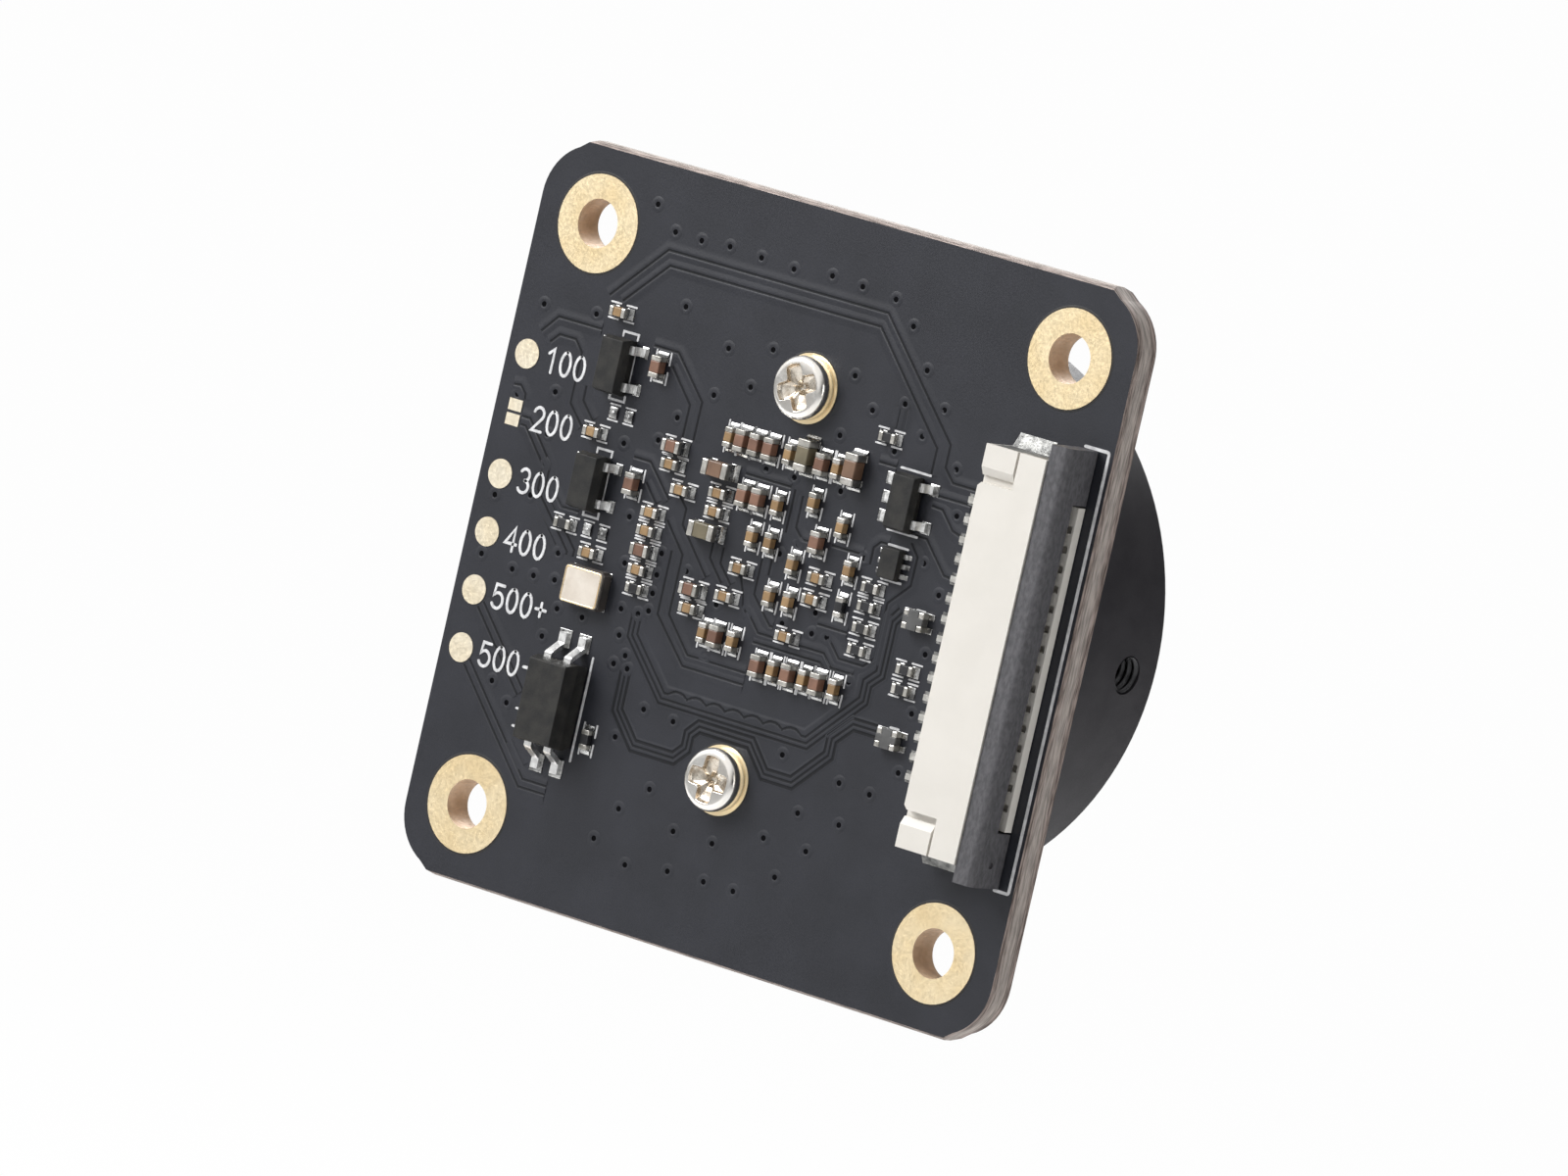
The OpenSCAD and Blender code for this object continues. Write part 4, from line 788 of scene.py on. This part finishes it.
# ---------------------------------------------------------------- screws
# Two small nickel-plated screws with a pressed cross recess, which go through the
# board into the lens mount.
nickel = grained("bright_nickel", (0.86, 0.82, 0.76), (0.96, 0.94, 0.9), 800, 9000, (0.12, 0.24), 0.15, 1.0)
# The recess is painted a darker warm brown than the head: painted shade, and a painted reflection of dark
# surroundings inside the cross.
recess_shade = grained("recess_painted_shade", (0.42, 0.35, 0.27), (0.78, 0.72, 0.63), 1800, 9000, (0.2, 0.36), 0.4,
                  1.0, 2e-5)
low, high = (np.array(corner) * 1e3 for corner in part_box("mount_screws"))
head_r, head_top, screw_end = (high[0] - low[0]) / 2, -low[1], -high[1]
shank_r, head_edge, under_head, thread_depth, thread_pitch = 0.9, 0.35, head_top - 1.0, 0.08, 0.4
screw_sides = 240
turn = np.linspace(0, 2 * np.pi, screw_sides, endpoint=False)[:, None]
# The head's edge is a quarter circle, and the thread a cosine wave along the shank.
arc = np.linspace(0, np.pi / 2, 7)
along = np.linspace(screw_end + 0.2, under_head, 90)
thread_r = shank_r - thread_depth * (0.5 + 0.5 * np.cos(2 * np.pi * along / thread_pitch))
outline = np.concatenate([
    [(0, screw_end), (shank_r - 0.2, screw_end)],
    np.stack([thread_r, along], axis=1),
    [(head_r - 0.04, under_head), (head_r, under_head + 0.04)],
    np.stack([head_r - head_edge + head_edge * np.cos(arc),
              head_top - head_edge + head_edge * np.sin(arc)], axis=1)])
# The recess is a star with four blunt arms: its outline's radius follows the fourth
# harmonic of the turn. Inside it a short steep wall leads to a cone and a deep middle:
# shares of the star's radius, and of the recess's depth.
inside = np.array([(1.03, 0), (1.01, 0), (1, 0.012), (0.97, 0.12), (0.9, 0.34), (0.88, 0.36), (0.6, 0.44),
                   (0.34, 0.52), (0.32, 0.55), (0.22, 0.95), (0.18, 1.0), (0, 1.05)])
waist, arm_end, blunt, recess_depth = 0.7, head_r - head_edge - 0.05, 0.6, 0.75
screw_z = np.concatenate([outline[:, 1], head_top - recess_depth * inside[:, 1]])
screw_grids = []
for middle, turned in ((10, 26), (-10, -3)):
    arms = np.clip((0.5 + 0.5 * np.cos(4 * (turn - math.radians(turned)))) / blunt, 0, 1)
    star = waist + (arm_end - waist) * arms
    r = np.concatenate([np.repeat(outline[None, :, 0], screw_sides, 0), star * inside[None, :, 0]], axis=1)
    screw_grids.append(on_board(r * np.cos(turn), r * np.sin(turn) + middle,
                                np.broadcast_to(screw_z, r.shape)))
screws = join_grids("cross_head_screws", screw_grids, nickel, wrap=True)
in_recess = np.arange(len(screw_z) - 1) >= len(outline) + 2
second_finish(screws, recess_shade, np.tile(in_recess, screw_sides * len(screw_grids)))
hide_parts("mount_screws")


# ---------------------------------------------------------------- chips
# Ceramic bodies in several browns and coated resistors, with tinned ends that
# stand in small fillets of bright solder.
dress("array_bodies", grained("array_coating", (0.05, 0.05, 0.05), (0.09, 0.09, 0.09), 900, 9000,
                              (0.4, 0.55), 0.4), 0.03)
for node, name, dark, light, edge in (
        ("small_capacitors", "tan_ceramic", (0.205, 0.125, 0.056), (0.315, 0.2, 0.095), 0.05),
        ("medium_capacitors", "brown_ceramic", (0.13, 0.066, 0.043), (0.21, 0.11, 0.072), 0.05),
        ("large_capacitors", "deep_brown_ceramic", (0.14, 0.08, 0.05), (0.2, 0.118, 0.073), 0.06),
        ("filter_capacitors", "olive_ceramic", (0.105, 0.09, 0.057), (0.165, 0.14, 0.088), 0.06)):
    dress(node, grained(name, dark, light, 700, 9000, (0.35, 0.5), 0.3), edge)
dress("resistors", grained("resistor_glaze", (0.010, 0.010, 0.012), (0.022, 0.022, 0.024), 900, 9000,
                           (0.3, 0.45), 0.3), 0.03)
tin = grained("bright_tin", (0.16, 0.16, 0.16), (0.68, 0.68, 0.67), 1500, 6000, (0.14, 0.34), 0.7,
              1.0, 3e-5)
end_tin = grained("plated_ends", (0.36, 0.35, 0.32), (0.62, 0.6, 0.56), 1200, 6000, (0.28, 0.46), 0.6,
                  1.0, 2e-5)
for node in ("array_corners", "chip_ends"):
    dress(node, end_tin, 0.06)
for node in ("chip_solder", "empty_pads", "lead_pads"):
    dress(node, tin, 0.05)


# ---------------------------------------------------------------- leaded packages
# Regulators, a switch and an optocoupler: dark epoxy compound moulded round
# stamped and tinned leads, which are soldered to the board.
compound = grained("moulding_compound", (0.012, 0.012, 0.012), (0.024, 0.023, 0.021), 1500, 14000,
                   (0.5, 0.66), 0.6, gloss=0.3)
for node, edge in (("regulator_bodies", 0.04), ("switch_body", 0.04), ("optocoupler_body", 0.05)):
    dress(node, compound, edge)
lead_tin = grained("lead_tin", (0.72, 0.72, 0.71), (0.95, 0.95, 0.94), 1500, 6000, (0.26, 0.42), 0.6,
                   1.0, 2e-5)
for node in ("regulator_leads", "switch_leads", "optocoupler_leads"):
    dress(node, lead_tin)


# ---------------------------------------------------------------- oscillator
# A ceramic tub, soldered to the board and closed by a metal lid that is welded
# on along a gold-plated rim.
dress("oscillator_base", grained("oscillator_ceramic", (0.03, 0.027, 0.025), (0.06, 0.05, 0.045), 900, 9000,
                                 (0.5, 0.6), 0.3), 0.04)
dress("oscillator_lid", grained("brushed_lid", (0.6, 0.54, 0.47), (0.72, 0.67, 0.6), 700, 7000,
                                (0.5, 0.62), 0.2, 0.75), 0.03)
gold_rim = grained("gold_rim", (0.8, 0.58, 0.3), (0.92, 0.72, 0.42), 900, 7000, (0.25, 0.4), 0.3, 1.0)
low, high = (np.array(corner) * 1e3 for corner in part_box("oscillator_lid"))
inset, lid_top = 0.05, -low[1]
x0, x1, y0, y1 = low[0] + inset, high[0] - inset, low[2] + inset, high[2] - inset
y_middle = 0.5 * (y0 + y1)
rim = rounded_path([(x0, y_middle), (x0, y1), (x1, y1), (x1, y0), (x0, y0), (x0, y_middle)], 0.18)
join_grids("lid_rim", [ribbon(rim, np.array([-0.06, -0.03, 0.03, 0.05]),
                              lid_top + np.array([-0.05, 0.012, 0.012, -0.02]), False)], gold_rim)


# ---------------------------------------------------------------- cable connector
# An ivory heat-proof housing with a black slider that locks the flat cable, and
# stamped contacts and anchors that are soldered to the board.
# The solder on the connector's pads is painted dark grey: painted shade and painted dark reflections on its
# fillets.
dress("connector_pads", grained("solder_painted_shade", (0.08, 0.08, 0.08), (0.3, 0.3, 0.29), 1800, 7000,
                                (0.4, 0.6), 0.9, 1.0, 5e-5), 0.05)
dress("connector_housing", grained("ivory_plastic", (0.655, 0.628, 0.58), (0.68, 0.652, 0.604), 500, 8000,
                                   (0.42, 0.55), 0.3), 0.05)
dress("connector_slider", grained("black_plastic", (0.054, 0.053, 0.058), (0.09, 0.088, 0.096), 6000, 14000,
                                  (0.5, 0.7), 0.7, stretch=(1.0, 1.0, 0.5)))
dress("connector_contacts", grained("contact_tin", (0.8, 0.78, 0.73), (0.95, 0.93, 0.88), 1200, 7000,
                                    (0.16, 0.32), 0.3, 1.0))
dress("connector_anchors", grained("dull_tin", (0.2, 0.2, 0.195), (0.42, 0.42, 0.41), 2500, 9000,
                                   (0.35, 0.55), 0.8, 1.0, 3e-5))
